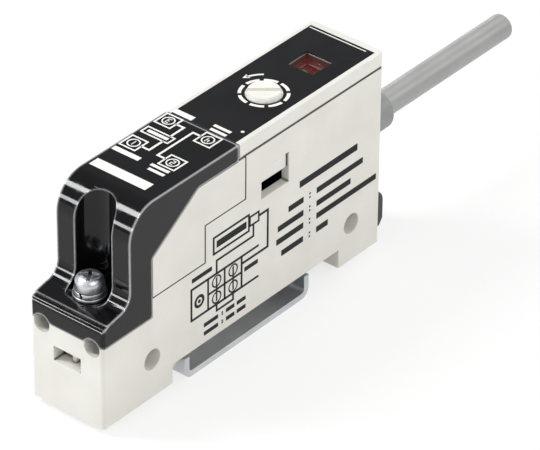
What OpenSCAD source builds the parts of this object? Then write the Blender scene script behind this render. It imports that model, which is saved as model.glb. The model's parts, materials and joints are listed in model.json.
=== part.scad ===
// Rail-mounted amplifier for a proximity sensor, with its clip-on mounting bracket.
// The case runs along X from its front face, Y goes across it and Z goes up.
// Each piece is drawn from the front face, the middle plane and the soles of the feet,
// and placed() then sets the origin at the middle of the bracket's underside.

/* [Case] */
// Width of the case
case_w = 13; // [12.5:0.5:18]
// Height from the soles of the feet to the flat top
case_h = 32; // [31.5:0.5:38]
// Thickness of the moulded case walls
wall = 1.3; // [1.1:0.1:1.5]
// Height of the feet below the rail seat
foot_h = 3.1; // [3:0.1:4]
// Distance from the front face to the rail notch
notch_x = 14.2; // [14:0.1:15]
// Width of the mounting rail over its flanges
rail_w = 35; // [34.8:0.1:35.2]
// Play of the rail in the notch
rail_play = 1; // [0.8:0.1:1.4]
// Length of the rear foot
rear_foot_len = 9.3; // [8.8:0.1:14]
// Radius of the upright outer corners
corner_r = 0.6; // [0.4:0.1:1]

/* [Side holes] */
// Radius of the two holes through the sides
side_hole_r = 1.6; // [1.4:0.1:1.8]
// Distance from the front face to the front side hole
side_hole_x = 10; // [9:0.1:10.2]
// Distance from the rear face to the rear side hole
rear_hole_inset = 6.5; // [5:0.1:7]
// Height of the side holes above the soles
side_hole_z = 6.3; // [6:0.1:6.8]

/* [Terminal cover] */
// Height of the joint between the case and the cover
joint_z = 13.2; // [13:0.1:14]
// Height of the front lip of the cover
lip_h = 3.2; // [2.8:0.1:3.6]
// Rise of the shelf from the lip to the upright face
shelf_rise = 0.7; // [0.4:0.1:1]
// Distance from the front face to the upright face of the cover
face_x = 5.6; // [5.2:0.1:6]
// Distance from the front face to the lower rear edge of the cover
cover_rear_x = 10.1; // [9.8:0.1:10.5]
// Length of the cover along the top
cover_len = 28; // [27.6:0.1:28.4]
// Length of the slope from the lower rear edge to the lid's height
slope_len = 9.5; // [8.5:0.1:10]
// Thickness of the cover walls
cover_wall = 1.2; // [1:0.1:1.3]
// Radius of the crest between the upright face and the top
crest_r = 5; // [4:0.5:5.5]
// Radius of the hollow between the shelf and the upright face
hollow_r = 2.5; // [1.5:0.5:3]
// Radius of the screwdriver channel
channel_r = 3.3; // [3:0.1:3.4]
// Height that the cover lifts clear of the terminals
cover_lift = 18; // [14:1:24]

/* [Wire entries] */
// Radius of the two sensor wire entries
entry_r = 1.4; // [1.2:0.1:1.5]
// Distance from the side of the case to the axis of a wire entry
entry_inset = 2; // [1.8:0.1:2.4]

/* [Terminals] */
// Distance from the front face to the lower terminal step
step_x = 10.5; // [10.5:0.1:10.8]
// Length of each terminal step
step_len = 6.8; // [6.6:0.1:7]
// Depth of the upper terminal step below the top of the cover
step_drop = 5.1; // [5:0.1:5.6]
// Rise from the lower step to the upper one
step_rise = 4.5; // [4:0.1:4.6]

/* [Top] */
// Thickness of the lid
lid_t = 2.6; // [2.4:0.1:2.8]
// Distance from the rear face to the axis of the adjuster
adjuster_inset = 19.2; // [18:0.1:20]
// Distance from the middle plane to the axis of the adjuster, towards the near side
adjuster_offset = 0.7; // [0.3:0.1:1]
// Radius of the adjuster at the lid
adjuster_r = 2.65; // [2.3:0.05:2.8]
// Height of the adjuster above the lid
adjuster_rise = 0.6; // [0.6:0.1:1.6]
// Distance from the rear face to the middle of the indicator window
window_inset = 9.1; // [8.5:0.1:9.5]
// Length of the indicator window
window_len = 4.3; // [3.6:0.1:4.6]
// Width of the indicator window
window_w = 4.6; // [4:0.1:5]

/* [Mounting bracket] */
// Width of the bracket's channel over its walls
channel_w = 26.9; // [25:0.1:27]
// Height of the bracket from its underside to the rail seat
bracket_h = 4.2; // [4:0.1:5.6]
// Thickness of the bracket's sheet
sheet_t = 1; // [0.8:0.1:1]
// Gap between the bracket and the sides of the case
bracket_inset = 0.1; // [0.1:0.1:1]
// Radius of the bracket's screw holes
bracket_hole_r = 1.65; // [1.4:0.05:1.8]
// Spacing of the bracket's screw holes
bracket_hole_pitch = 17; // [14:0.5:19]

/* [Rail lock] */
// Width of the sliding lock
lock_w = 6; // [5:0.5:7]
// Thickness of the sliding lock
lock_t = 1.3; // [1.1:0.1:1.4]
// Travel of the lock
lock_travel = 2.2; // [2:0.1:2.4]
// Height of the lock's finger grip
grip_h = 6.2; // [5:0.1:7]

/* [Cable] */
// Diameter of the cable
cable_d = 4; // [3.6:0.1:4.2]
// Height of the cable above the soles
cable_z = 16.4; // [15.5:0.1:17]
// Length of the strain relief outside the case
gland_len = 7.5; // [5:0.1:9]
// Radius of the strain relief
gland_r = 3.1; // [2.8:0.1:3.4]

/* [Hidden] */
$fn = 48;

// Colours of the pieces
case_colour = "#e6e4dd";
smoke_colour = "#1d1c1e";
steel_colour = "#c3c6c9";
brass_colour = "#c9a24b";
board_colour = "#2f6b45";
black_colour = "#222224";

// Clearances
seam = 0.1;
slide_fit = 0.1;
bore_fit = 0.05;
cut = 1;

// Case
notch_end = notch_x + rail_w + rail_play;
case_len = notch_end + rear_foot_len;
floor_z = foot_h + wall;
rim_z = case_h - lid_t;
inner_w = case_w - 2 * wall;
roof_t = 2.8;
boss_r = side_hole_r + 1.2;
rear_hole_x = case_len - rear_hole_inset;
bed_inset = 8;
bed_x = notch_end - bed_inset;
bed_len = 4;

// Front window, moulded into the front wall
pocket_z = 7.6;
pocket_h = 2.4;
pocket_w = 4.9;
pocket_depth = 2.2;
pocket_wall = 0.8;
latch_t = 0.7;

// Steps of the seam between the case and the terminal block
step_z = case_h - step_drop - step_rise;
lid_lap = 1.6;
seam_x1 = step_x + 1.5 * step_len + 0.4;
seam_x2 = cover_len + lid_lap;
seam_z1 = joint_z + lip_h;
seam_z2 = step_z + seam;

// Cover
lip_z = joint_z + lip_h;
shelf_z = lip_z + shelf_rise;
seat_z = shelf_z - 0.1;
lip_r = 1;
edge_z = step_z + 0.5;
edge_x = cover_rear_x + slope_len;
cover_w = case_w;
cover_in_w = cover_w - 2 * cover_wall;

// Wire entries, just below the joint
entry_y = case_w / 2 - entry_inset;
entry_z = joint_z - 0.45;
entry_len = face_x + cover_wall + 1.7;

// Cover screw
screw_x = 4.8;
screw_r = 1.25;
screw_head_r = 2.05;
screw_head_h = 2.1;
spring_t = 0.7;
spring_r = 2.2;
washer_t = 0.5;
washer_r = 2.4;
channel_x = screw_x + 0.6;
channel_wall = 0.8;
insert_r = 1.6;
insert_h = 4;
screw_len = 8;
recess_w = 0.55;
recess_depth = 0.8;

// Terminals, each in a bay between the rib and a cheek
rib_t = 0.7;
rib_h = 1.8;
bay_w = inner_w / 2 - seam - rib_t / 2;
terminal_y = (rib_t + bay_w) / 2;
terminal_x = [step_x + step_len / 2, step_x + 1.5 * step_len];
terminal_z = [step_z, step_z + step_rise];
back_x = step_x + 2 * step_len;
block_fit = 0.05;
block_w = inner_w - 2 * block_fit;
core_foot_z = seam_z1 - 1.5;
core_rear_foot_z = seam_z2 - 1.5;
plate_t = 0.6;
plate_len = 4.8;
core_rear_x = terminal_x[1] + plate_len / 2 + 0.5;
plate_w = bay_w - 2 * seam;
clamp_t = 0.6;
clamp_w = plate_w - 0.6;
terminal_head_r = plate_w / 2 - 0.15;
terminal_head_h = 1.5;
terminal_screw_r = 1.2;
terminal_screw_len = 3.6;
tail_w = 0.8;
tail_drop = 1.6;
funnel_r = 0.9;
funnel_depth = 0.6;

// Lid
lid_x = cover_len + 0.2;
groove_h = 0.35;
groove_depth = 0.3;
label_t = 0.2;
label_rim = 0.75;
label_rear_rim = 1.1;
lid_skin = 1.7;
skirt_h = 1;
skirt_t = 0.9;
snap_x = seam_x2 + 3.4;
snap_len = 5.8;
snap_h = 4.8;
snap_drop = 3.9;
snap_z = rim_z - snap_drop - snap_h;
snap_tooth_h = 2.3;
snap_proud = 0.9;
window_x = case_len - window_inset;
window_y = -0.6;
window_rim = 0.5;
lens_sink = 0.4;
lens_t = 0.9;

// Adjuster and trimmer
adjuster_x = case_len - adjuster_inset;
adjuster_y = -adjuster_offset;
adjuster_top_r = adjuster_r - 0.35;
adjuster_fit = 0.08;
adjuster_hub_r = 1;
trimmer_size = 6;
trimmer_t = 5.2;
trimmer_drop = 0.6;
trimmer_z = rim_z - trimmer_drop - trimmer_t;
trimmer_proud = 0.5;
trimmer_seat = 3.6;
slot_w = 0.7;
slot_depth = 0.5;

// Indicator lamps
led_r = 0.8;
led_gap = 0.3;
lead_t = 0.35;
led_pitch = 2.2;
led_base_drop = 1.2;
led_drops = [1.4, 0.6];

// Circuit board
board_t = 1;
board_y = inner_w / 2 - 2 * seam - skirt_t - board_t;
board_gap = 0.5;
board_top = rim_z - 1.2;
board_front = cover_rear_x + wall + seam;

// Components, each with its distance from the rear face, its height and its size
chip_inset = 28;
chip_at = [case_len - chip_inset, 10];
chip_size = [8, 1.8, 6];
transistor_inset = 16.5;
transistor_x = case_len - transistor_inset;
transistor_z = [17, 13];
transistor_size = [3, 1.2, 1.6];
regulator_inset = 18;
regulator_at = [case_len - regulator_inset, 6.4];
regulator_size = [4.6, 1.7, 4];
capacitor_inset = 9;
capacitor_x = case_len - capacitor_inset;
capacitor_z = 12.5;
capacitor_r = 2;
capacitor_len = 5;
crimp_z = 1.2;
crimp_r = 0.3;

// Cable
gland_bore = cable_d / 2;
gland_neck_r = 2.5;
gland_flange_r = gland_neck_r + 0.4;
gland_flange_t = 1.2;
board_rear = case_len - wall - gland_flange_t - 0.3;
cable_route = [-2.6, 5, 13, 21, 29, 37];
cable_inner = -cable_route[0];
core_d = 1;
core_orbit = 0.9;

// Bracket
flange_gap = 0.15;
front_flange = 2.4;
bracket_w = case_w - 2 * bracket_inset;
tab_inset = 1.2;
wall_x = notch_x + flange_gap + front_flange;
bracket_mid = wall_x + channel_w / 2;
bracket_foot = foot_h - bracket_h;
tab_w = case_w - 2 * tab_inset;
bend_r = 0.6;

// Hook and lock
nose_top = foot_h - sheet_t - slide_fit;
nose_rise = 1.3;
hook_len = front_flange - 0.3;
hook_w = tab_w;
nose_tip_t = 0.45;
lock_z = 0.65;
lock_reach = 2.8;
tunnel_h = lock_t + 0.35;
spring_d = 1.1;
spring_wire = 0.25;
spring_turns = 6;
spring_x = notch_end + 2;
spring_len = 4.4;
stop_t = 0.8;
grip_gap = 0.15;
grip_t = 2.9;
grip_w = 9.6;
grip_r = 2;
grip_chamfer = 0.8;

// Placing

// Moves a piece drawn from the case's front foot into the frame of the part
module placed() {
    translate([-bracket_mid, 0, -bracket_foot]) children();
}

// Turns a profile drawn in X and Z into a solid of width w about the middle plane
module across(w, y = 0) {
    translate([0, y + w / 2, 0]) rotate([90, 0, 0]) linear_extrude(w) children();
}

// Bar along X from x, centred on y, with its underside at z
module block_at(x, y, z, size) {
    translate([x, y - size[1] / 2, z]) cube(size);
}

// Pin across the case
module cross_pin(x, z, r, w) {
    translate([x, w / 2, z]) rotate([90, 0, 0]) cylinder(r = r, h = w);
}

// Rod along X
module rod_x(x, y, z, r, len) {
    translate([x, y, z]) rotate([0, 90, 0]) cylinder(r = r, h = len);
}

// Rectangle with its four corners rounded to r
module round_rect(x, len, w, r) {
    union() {
        translate([x + r, -w / 2]) square([len - 2 * r, w]);
        translate([x, -w / 2 + r]) square([len, w - 2 * r]);
        for (cx = [x + r, x + len - r], cy = [-w / 2 + r, w / 2 - r])
            translate([cx, cy]) circle(r = r);
    }
}

// Waste that rounds an outer corner: sx and sy point out of the corner
module corner_waste(x, z, r, sx, sy) {
    translate([x - sx * r, z - sy * r]) difference() {
        translate([sx > 0 ? 0 : -r - cut, sy > 0 ? 0 : -r - cut]) square(r + cut);
        circle(r = r);
    }
}

// Filler that rounds an inner corner and laps the walls: sx and sy point into the corner
module corner_fill(x, z, r, sx, sy) {
    translate([x - sx * r, z - sy * r]) difference() {
        translate([sx > 0 ? 0 : -r - seam, sy > 0 ? 0 : -r - seam]) square(r + seam);
        circle(r = r);
    }
}

// Case

module case_side() {
    polygon([
        [0, 0], [notch_x, 0], [notch_x, foot_h], [notch_end, foot_h], [notch_end, 0],
        [case_len, 0], [case_len, rim_z], [seam_x2, rim_z], [seam_x2, seam_z2],
        [seam_x1, seam_z2], [seam_x1, seam_z1], [cover_rear_x, seam_z1],
        [cover_rear_x, joint_z], [0, joint_z]
    ]);
}

module case_hollow() {
    polygon([
        [wall, wall], [notch_x - wall, wall], [notch_x - wall, floor_z],
        [case_len - wall, floor_z], [case_len - wall, rim_z + cut],
        [seam_x2 - cut, rim_z + cut], [seam_x2 - cut, seam_z2 + cut],
        [seam_x1 - cut, seam_z2 + cut], [seam_x1 - cut, seam_z1 + cut],
        [cover_rear_x + wall, seam_z1 + cut], [cover_rear_x + wall, joint_z - roof_t],
        [wall, joint_z - roof_t]
    ]);
}

// Claw of the front foot that reaches under the flange of the rail
module rail_hook() {
    across(hook_w) polygon([
        [notch_x - cut, nose_top - nose_rise], [notch_x, nose_top - nose_rise],
        [notch_x + hook_len, nose_top - nose_tip_t], [notch_x + hook_len, nose_top],
        [notch_x - cut, nose_top]
    ]);
}

module snap_window(y) {
    block_at(snap_x, y, snap_z, [snap_len, wall + 2 * cut, snap_h]);
}

module case_solid() {
    intersection() {
        across(case_w) case_side();
        translate([0, 0, -cut])
            linear_extrude(case_h + 2 * cut) round_rect(0, case_len, case_w, corner_r);
    }
    rail_hook();
}

module case() {
    color(case_colour) placed() difference() {
        union() {
            difference() {
                case_solid();
                across(inner_w) case_hollow();
            }
            // Tubes round the side holes
            intersection() {
                for (x = [side_hole_x, rear_hole_x])
                    cross_pin(x, side_hole_z, boss_r, inner_w + wall);
                block_at(wall / 2, 0, wall / 2, [case_len - wall, inner_w + wall, case_h / 2]);
            }
            // Boss of the threaded insert
            translate([screw_x, 0, joint_z - insert_h - wall])
                cylinder(r = insert_r + wall / 2, h = insert_h);
            // Walls of the front window
            block_at(
                wall / 2, 0, pocket_z - pocket_wall,
                [pocket_depth + pocket_wall - wall / 2, pocket_w + 2 * pocket_wall,
                    joint_z - roof_t / 2 - pocket_z + pocket_wall]
            );
            // Bed of the board at the floor
            for (y = [board_y - pocket_wall, board_y + board_t])
                translate([bed_x, y, foot_h + wall / 2])
                    cube([bed_len, pocket_wall, wall]);
        }
        for (x = [side_hole_x, rear_hole_x]) cross_pin(x, side_hole_z, side_hole_r, case_w + cut);
        // Front window with its small latch rib
        difference() {
            block_at(-cut, 0, pocket_z, [pocket_depth + cut, pocket_w, pocket_h]);
            block_at(pocket_depth - latch_t, 0, pocket_z - cut, [cut, latch_t, pocket_h / 2 + cut]);
        }
        for (y = [-1, 1]) {
            // Lower halves of the wire entries
            rod_x(-cut, y * entry_y, entry_z, entry_r, entry_len + cut);
            snap_window(y * case_w / 2);
        }
        // Seat of the threaded insert, and the run-out below it
        translate([screw_x, 0, joint_z - insert_h]) cylinder(r = insert_r, h = insert_h + cut);
        translate([screw_x, 0, joint_z - insert_h - 0.7]) cylinder(r = insert_r - 0.1, h = cut);
        // Hole of the strain relief
        rod_x(case_len - wall - cut, 0, cable_z, gland_neck_r + bore_fit, wall + 2 * cut);
        // Tunnel of the rail lock, with the stop that carries its spring
        difference() {
            block_at(
                notch_end - cut, 0, lock_z - slide_fit,
                [case_len - notch_end + 2 * cut, lock_w + 2 * slide_fit, tunnel_h]
            );
            block_at(spring_x + spring_len, 0, 0, [stop_t, spring_d, foot_h]);
        }
    }
}

// Terminal block

module block_core() {
    polygon([
        [step_x, seam_z1], [cover_rear_x + wall + seam, seam_z1],
        [cover_rear_x + wall + seam, core_foot_z], [core_rear_x, core_foot_z],
        [core_rear_x, core_rear_foot_z], [seam_x2 - seam, core_rear_foot_z],
        [seam_x2 - seam, rim_z - seam], [cover_len, rim_z - seam],
        [cover_len, case_h - cover_wall - 0.2], [back_x, case_h - cover_wall - 0.2],
        [back_x, terminal_z[1]], [step_x + step_len, terminal_z[1]],
        [step_x + step_len, terminal_z[0]], [step_x, terminal_z[0]]
    ]);
}

// Cheeks that stand flush with the case sides, between the seam and the cover
module block_cheek() {
    polygon([
        [cover_rear_x + seam, seam_z1], [seam_x1 - seam, seam_z1], [seam_x1 - seam, seam_z2],
        [seam_x2 - seam, seam_z2], [seam_x2 - seam, rim_z - seam],
        [edge_x + seam, rim_z - seam], [cover_rear_x + seam, edge_z - seam]
    ]);
}

// Rib that follows the two steps
module step_rib() {
    polygon([
        [step_x, terminal_z[0] - cut], [step_x, terminal_z[0] + rib_h],
        [step_x + step_len, terminal_z[0] + rib_h],
        [step_x + step_len, terminal_z[1] + rib_h],
        [back_x + cut, terminal_z[1] + rib_h], [back_x + cut, terminal_z[0] - cut]
    ]);
}

// Places its children at terminal i, counted from the near front one
module at_terminal(i) {
    step = floor(i / 2);
    side = i % 2 == 0 ? -1 : 1;
    translate([terminal_x[step], side * terminal_y, terminal_z[step]]) children();
}

// Offset of a terminal's tail, so that the tails of a pair pass each other
function tail_x(i) = i % 2 == 0 ? -plate_len / 2 : plate_len / 2 - tail_w;
function tail_len(i) = terminal_z[floor(i / 2)] - core_foot_z + tail_drop;

module terminal_block() {
    color(case_colour) placed() difference() {
        union() {
            across(block_w) block_core();
            for (y = [-1, 1]) across(wall + 0.1, y * (case_w - wall - 0.1) / 2) block_cheek();
            across(rib_t) step_rib();
        }
        for (i = [0:3]) at_terminal(i) {
            // Seat of the screw and slot of the tail
            translate([0, 0, -terminal_screw_len])
                cylinder(r = terminal_screw_r + bore_fit, h = terminal_screw_len + cut);
            translate([tail_x(i), -plate_t / 2, -tail_len(i)])
                cube([tail_w, plate_t, tail_len(i) + cut]);
        }
        // Wire funnels in the front of each step
        for (i = [0:3]) at_terminal(i)
            translate([-step_len / 2 - cut, 0, 0])
                rotate([0, 90, 0]) cylinder(r = funnel_r, h = funnel_depth + cut);
    }
}

module terminal_plate(i) {
    reach = board_y - (i % 2 == 0 ? -terminal_y : terminal_y);
    color(brass_colour) placed() at_terminal(i) difference() {
        union() {
            translate([-plate_len / 2, -plate_w / 2, 0]) cube([plate_len, plate_w, plate_t]);
            translate([tail_x(i), -plate_t / 2, -tail_len(i)])
                cube([tail_w, plate_t, tail_len(i) + plate_t]);
            translate([tail_x(i), -plate_t / 2, -tail_len(i)])
                cube([tail_w, reach + plate_t / 2, plate_t]);
        }
        translate([0, 0, -cut]) cylinder(r = terminal_screw_r + bore_fit, h = plate_t + 2 * cut);
    }
}

// Square pressure plate under a terminal screw, with its two edges turned down
module terminal_clamp(i) {
    color(steel_colour) placed() at_terminal(i) translate([0, 0, plate_t]) difference() {
        translate([-clamp_w / 2, -clamp_w / 2, 0]) cube([clamp_w, clamp_w, clamp_t]);
        translate([0, 0, -cut]) cylinder(r = terminal_screw_r + bore_fit, h = clamp_t + 2 * cut);
        for (s = [-1, 1]) translate([-clamp_w, s * clamp_w / 4, 0])
            rotate([0, 90, 0]) cylinder(r = 0.3, h = 2 * clamp_w);
    }
}

// Cross recess of a screw head, cut down from the top
module cross_recess(arm) {
    for (a = [0, 90]) rotate([0, 0, a])
        translate([-arm, -recess_w / 2, -recess_depth]) cube([2 * arm, recess_w, recess_depth + cut]);
}

// Pan head of radius r and height h, standing on z = 0
module pan_head(r, h) {
    rotate_extrude() difference() {
        square([r, h]);
        corner_waste(r, h, h * 0.55, 1, 1);
    }
}

module terminal_screw(i) {
    color(steel_colour) placed() at_terminal(i) translate([0, 0, plate_t + clamp_t])
        difference() {
            union() {
                pan_head(terminal_head_r, terminal_head_h);
                translate([0, 0, -terminal_screw_len - plate_t / 2])
                    cylinder(r = terminal_screw_r, h = terminal_screw_len + plate_t);
            }
            translate([0, 0, terminal_head_h]) rotate([0, 0, 20]) cross_recess(1.3);
        }
}

// Terminal cover

module cover_side() {
    hollow_x = face_x - hollow_r;
    hollow_z = shelf_z + hollow_r;
    difference() {
        polygon([
            [0, joint_z], [0, lip_z], [hollow_x, shelf_z], [hollow_x, hollow_z],
            [face_x, hollow_z], [face_x, case_h], [cover_len, case_h], [cover_len, rim_z],
            [edge_x, rim_z], [cover_rear_x, edge_z], [cover_rear_x, joint_z]
        ]);
        translate([hollow_x, hollow_z]) circle(r = hollow_r);
        corner_waste(face_x, case_h, crest_r, -1, 1);
        corner_waste(0, lip_z, lip_r, -1, 1);
    }
}

module cover_hollow() {
    in_x = face_x + cover_wall;
    in_z = case_h - cover_wall;
    difference() {
        translate([in_x, joint_z - cut])
            square([cover_len - in_x + cut, in_z - joint_z + cut]);
        corner_waste(in_x, in_z, crest_r - cover_wall, -1, 1);
    }
}

// Outline of the screwdriver channel, a slot that runs back from the screw
module channel_outline(r) {
    union() {
        for (x = [screw_x, channel_x]) translate([x, 0]) circle(r = r);
        translate([screw_x, -r]) square([channel_x - screw_x, 2 * r]);
    }
}

module terminal_cover() {
    color(smoke_colour, 0.75) placed() difference() {
        intersection() {
            across(cover_w) cover_side();
            translate([0, 0, joint_z - cut]) linear_extrude(case_h)
                round_rect(0, cover_len + 2 * corner_r, cover_w, corner_r);
        }
        difference() {
            across(cover_in_w) cover_hollow();
            translate([0, 0, joint_z - 2 * cut]) linear_extrude(case_h)
                channel_outline(channel_r + channel_wall);
        }
        // Screwdriver channel down to the seat of the washer
        translate([0, 0, seat_z]) linear_extrude(case_h) channel_outline(channel_r);
        translate([screw_x, 0, joint_z - cut]) cylinder(r = screw_r + 0.25, h = case_h);
        // Upper halves of the wire entries
        for (y = [-1, 1])
            rod_x(-cut, y * entry_y, entry_z, entry_r, entry_len + cut);
    }
}

// Stack on the cover's seat: flat washer, spring washer and screw

module flat_washer() {
    color(steel_colour) placed() translate([screw_x, 0, seat_z]) difference() {
        cylinder(r = washer_r, h = washer_t);
        translate([0, 0, -cut]) cylinder(r = screw_r + bore_fit, h = washer_t + 2 * cut);
    }
}

module spring_washer() {
    color(steel_colour) placed() translate([screw_x, 0, seat_z + washer_t]) difference() {
        cylinder(r = spring_r, h = spring_t);
        translate([0, 0, -cut]) cylinder(r = screw_r + bore_fit, h = spring_t + 2 * cut);
        // Split of the ring
        rotate([0, 0, 200]) translate([0, -0.15, -cut]) rotate([18, 0, 0])
            cube([washer_r + cut, 0.3, spring_t + 3 * cut]);
    }
}

module cover_screw() {
    color(steel_colour) placed() translate([screw_x, 0, seat_z + washer_t + spring_t])
        difference() {
            union() {
                pan_head(screw_head_r, screw_head_h);
                translate([0, 0, -screw_len]) cylinder(r = screw_r, h = screw_len + washer_t);
            }
            translate([0, 0, screw_head_h]) rotate([0, 0, 35]) cross_recess(1.4);
        }
}

module screw_insert() {
    color(brass_colour) placed() translate([screw_x, 0, joint_z - insert_h]) difference() {
        cylinder(r = insert_r, h = insert_h);
        translate([0, 0, -cut]) cylinder(r = screw_r + bore_fit, h = insert_h + 2 * cut);
    }
}

// Lid

// Snap tongue of the lid, whose tooth fills the upper part of the side window
module snap_tongue(s) {
    tooth_top = snap_z + snap_h - seam;
    tongue_y = inner_w / 2 - seam;
    translate([snap_x + 2 * seam, s > 0 ? tongue_y - skirt_t : -tongue_y, tooth_top - snap_tooth_h])
        cube([snap_len - 4 * seam, skirt_t, rim_z - tooth_top + snap_tooth_h + seam]);
    translate([
        snap_x + 2 * seam, s > 0 ? tongue_y - seam : -tongue_y + seam - snap_proud - 2 * seam,
        tooth_top - snap_tooth_h
    ])
        cube([snap_len - 4 * seam, snap_proud + 2 * seam, snap_tooth_h]);
}

module top_lid() {
    lid_len = case_len - lid_x;
    skirt_x = seam_x2 + seam;
    skirt_len = case_len - wall - seam - skirt_x;
    skirt_w = inner_w - 2 * seam;
    color(case_colour) placed() difference() {
        union() {
            intersection() {
                union() {
                    block_at(lid_x, 0, rim_z + groove_h, [lid_len, case_w, lid_t - groove_h]);
                    block_at(
                        lid_x, 0, rim_z,
                        [lid_len - groove_depth, case_w - 2 * groove_depth, lid_t / 2]
                    );
                }
                translate([0, 0, rim_z - cut]) linear_extrude(lid_t + 2 * cut)
                    round_rect(lid_x - 2 * corner_r, lid_len + 2 * corner_r, case_w, corner_r);
            }
            difference() {
                block_at(skirt_x, 0, rim_z - skirt_h, [skirt_len, skirt_w, skirt_h + seam]);
                block_at(
                    skirt_x + skirt_t, 0, rim_z - skirt_h - cut,
                    [skirt_len - 2 * skirt_t, skirt_w - 2 * skirt_t, skirt_h + 2 * cut]
                );
            }
            for (s = [-1, 1]) snap_tongue(s);
        }
        // Hollow of the underside
        block_at(
            skirt_x + skirt_t, 0, rim_z - cut,
            [skirt_len - 2 * skirt_t, skirt_w - 2 * skirt_t, lid_t - lid_skin + cut]
        );
        // Bed of the label, open towards the cover
        block_at(
            lid_x - cut, 0, case_h - label_t,
            [lid_len + cut - label_rear_rim, case_w - 2 * label_rim, label_t + cut]
        );
        translate([adjuster_x, adjuster_y, rim_z - cut])
            cylinder(r = adjuster_r + adjuster_fit, h = lid_t + 2 * cut);
        // Indicator window with the ledge that carries its lens
        block_at(
            window_x - window_len / 2, window_y, case_h - lens_sink - lens_t,
            [window_len, window_w, lid_t]
        );
        block_at(
            window_x - window_len / 2 + window_rim, window_y, rim_z - cut,
            [window_len - 2 * window_rim, window_w - 2 * window_rim, lid_t]
        );
    }
}

module top_label() {
    color(smoke_colour) placed() difference() {
        block_at(
            lid_x, 0, case_h - label_t,
            [case_len - lid_x - label_rear_rim - seam, case_w - 2 * label_rim - 2 * seam, label_t]
        );
        translate([adjuster_x, adjuster_y, case_h - cut])
            cylinder(r = adjuster_r + adjuster_fit, h = 2 * cut);
        block_at(window_x - window_len / 2, window_y, case_h - cut, [window_len, window_w, 2 * cut]);
    }
}

module led_window() {
    color("#5a1f1f", 0.7) placed() block_at(
        window_x - window_len / 2, window_y, case_h - lens_sink - lens_t, [window_len, window_w, lens_t]
    );
}

// Adjuster and trimmer

module adjuster() {
    hub_z = trimmer_z + trimmer_seat + bore_fit;
    color("#f0efea") placed() translate([adjuster_x, adjuster_y, 0]) difference() {
        union() {
            translate([0, 0, case_h - lid_skin]) cylinder(r = adjuster_r, h = lid_skin);
            translate([0, 0, case_h])
                cylinder(r1 = adjuster_r, r2 = adjuster_top_r, h = adjuster_rise);
            translate([0, 0, hub_z]) cylinder(r = adjuster_hub_r, h = case_h - lid_skin - hub_z + seam);
        }
        translate([-adjuster_r, -slot_w / 2, case_h + adjuster_rise - slot_depth])
            cube([2 * adjuster_r, slot_w, slot_depth + cut]);
    }
}

module trimmer() {
    color("#2b5fa5") placed() difference() {
        translate([adjuster_x - trimmer_size / 2, board_y - trimmer_size + trimmer_proud, trimmer_z])
            cube([trimmer_size, trimmer_size - trimmer_proud, trimmer_t]);
        translate([adjuster_x, adjuster_y, trimmer_z + trimmer_seat])
            cylinder(r = adjuster_hub_r + bore_fit, h = trimmer_t);
    }
}

// Indicator lamp with two leads that run down and across to the board, drop below its base
module led_body(y, drop, colour) {
    base_z = board_top - led_base_drop;
    dome_z = case_h - lens_sink - lens_t - led_gap - led_r;
    color(colour) placed() {
        translate([window_x, y, base_z]) cylinder(r = led_r, h = dome_z - base_z);
        translate([window_x, y, dome_z]) sphere(r = led_r);
        for (s = [-1, 1]) translate([window_x + s * led_r / 2 - lead_t / 2, y, base_z - drop]) {
            cube([lead_t, lead_t, drop]);
            cube([lead_t, board_y - y, lead_t]);
        }
    }
}

// Circuit board with its components

module board_side() {
    difference() {
        polygon([
            [board_front, floor_z], [board_rear, floor_z], [board_rear, board_top],
            [seam_x2 + board_gap, board_top], [seam_x2 + board_gap, core_rear_foot_z - board_gap],
            [core_rear_x + board_gap, core_rear_foot_z - board_gap],
            [core_rear_x + board_gap, core_foot_z - board_gap],
            [board_front, core_foot_z - board_gap]
        ]);
        // Bites that clear the tubes of the side holes
        translate([side_hole_x, side_hole_z]) circle(r = boss_r + board_gap);
        translate([rear_hole_x, side_hole_z]) circle(r = boss_r + board_gap);
        translate([rear_hole_x - boss_r - board_gap, 0])
            square([2 * (boss_r + board_gap), side_hole_z]);
    }
}

module circuit_board() {
    color(board_colour) placed() across(board_t, board_y + board_t / 2) board_side();
}

// Component of the given size, standing on the inner face of the board
module on_board(at, size) {
    color(black_colour) placed() translate([at[0], board_y - size[1], at[1]]) cube(size);
}

module output_transistor(i) {
    on_board([transistor_x, transistor_z[i]], transistor_size);
}

// Can that stands off the board, with the crimped groove round its foot
module smoothing_capacitor() {
    color("#33373c") placed() translate([capacitor_x, board_y, capacitor_z]) rotate([90, 0, 0])
        difference() {
            cylinder(r = capacitor_r, h = capacitor_len);
            translate([0, 0, crimp_z]) rotate_extrude() translate([capacitor_r + crimp_r / 2, 0])
                circle(r = crimp_r);
        }
}

// Cable

cable_points = [for (x = cable_route) [case_len + x, 0, cable_z]];

// Wires curve from the end of the jacket to the inner face of the board
wire_orbits = [[-1, -1], [1, -1], [1, 1], [-1, 1]];
wire_bend = 2.2;
wire_lead = 0.3;
wire_pitch = 1.6;
wire_steps = 5;
function wire_points(i) = let (
    y = wire_orbits[i][0] * core_orbit,
    z = cable_z + wire_orbits[i][1] * core_orbit,
    end_z = cable_z + (i - 1.5) * wire_pitch,
    x = case_len - cable_inner,
    rise = board_y - wire_lead - y
) concat(
    [[x, y, z]],
    [for (k = [0:wire_steps]) let (a = 90 * k / wire_steps) [
        x - wire_lead - wire_bend * sin(a), y + rise * (1 - cos(a)), z + (end_z - z) * k / wire_steps
    ]],
    [[x - wire_lead - wire_bend, board_y, end_z]]
);

function unit(v) = v / norm(v);
function heading(pts, i) = unit(
    pts[min(i + 1, len(pts) - 1)] - pts[max(i - 1, 0)]
);

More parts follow.
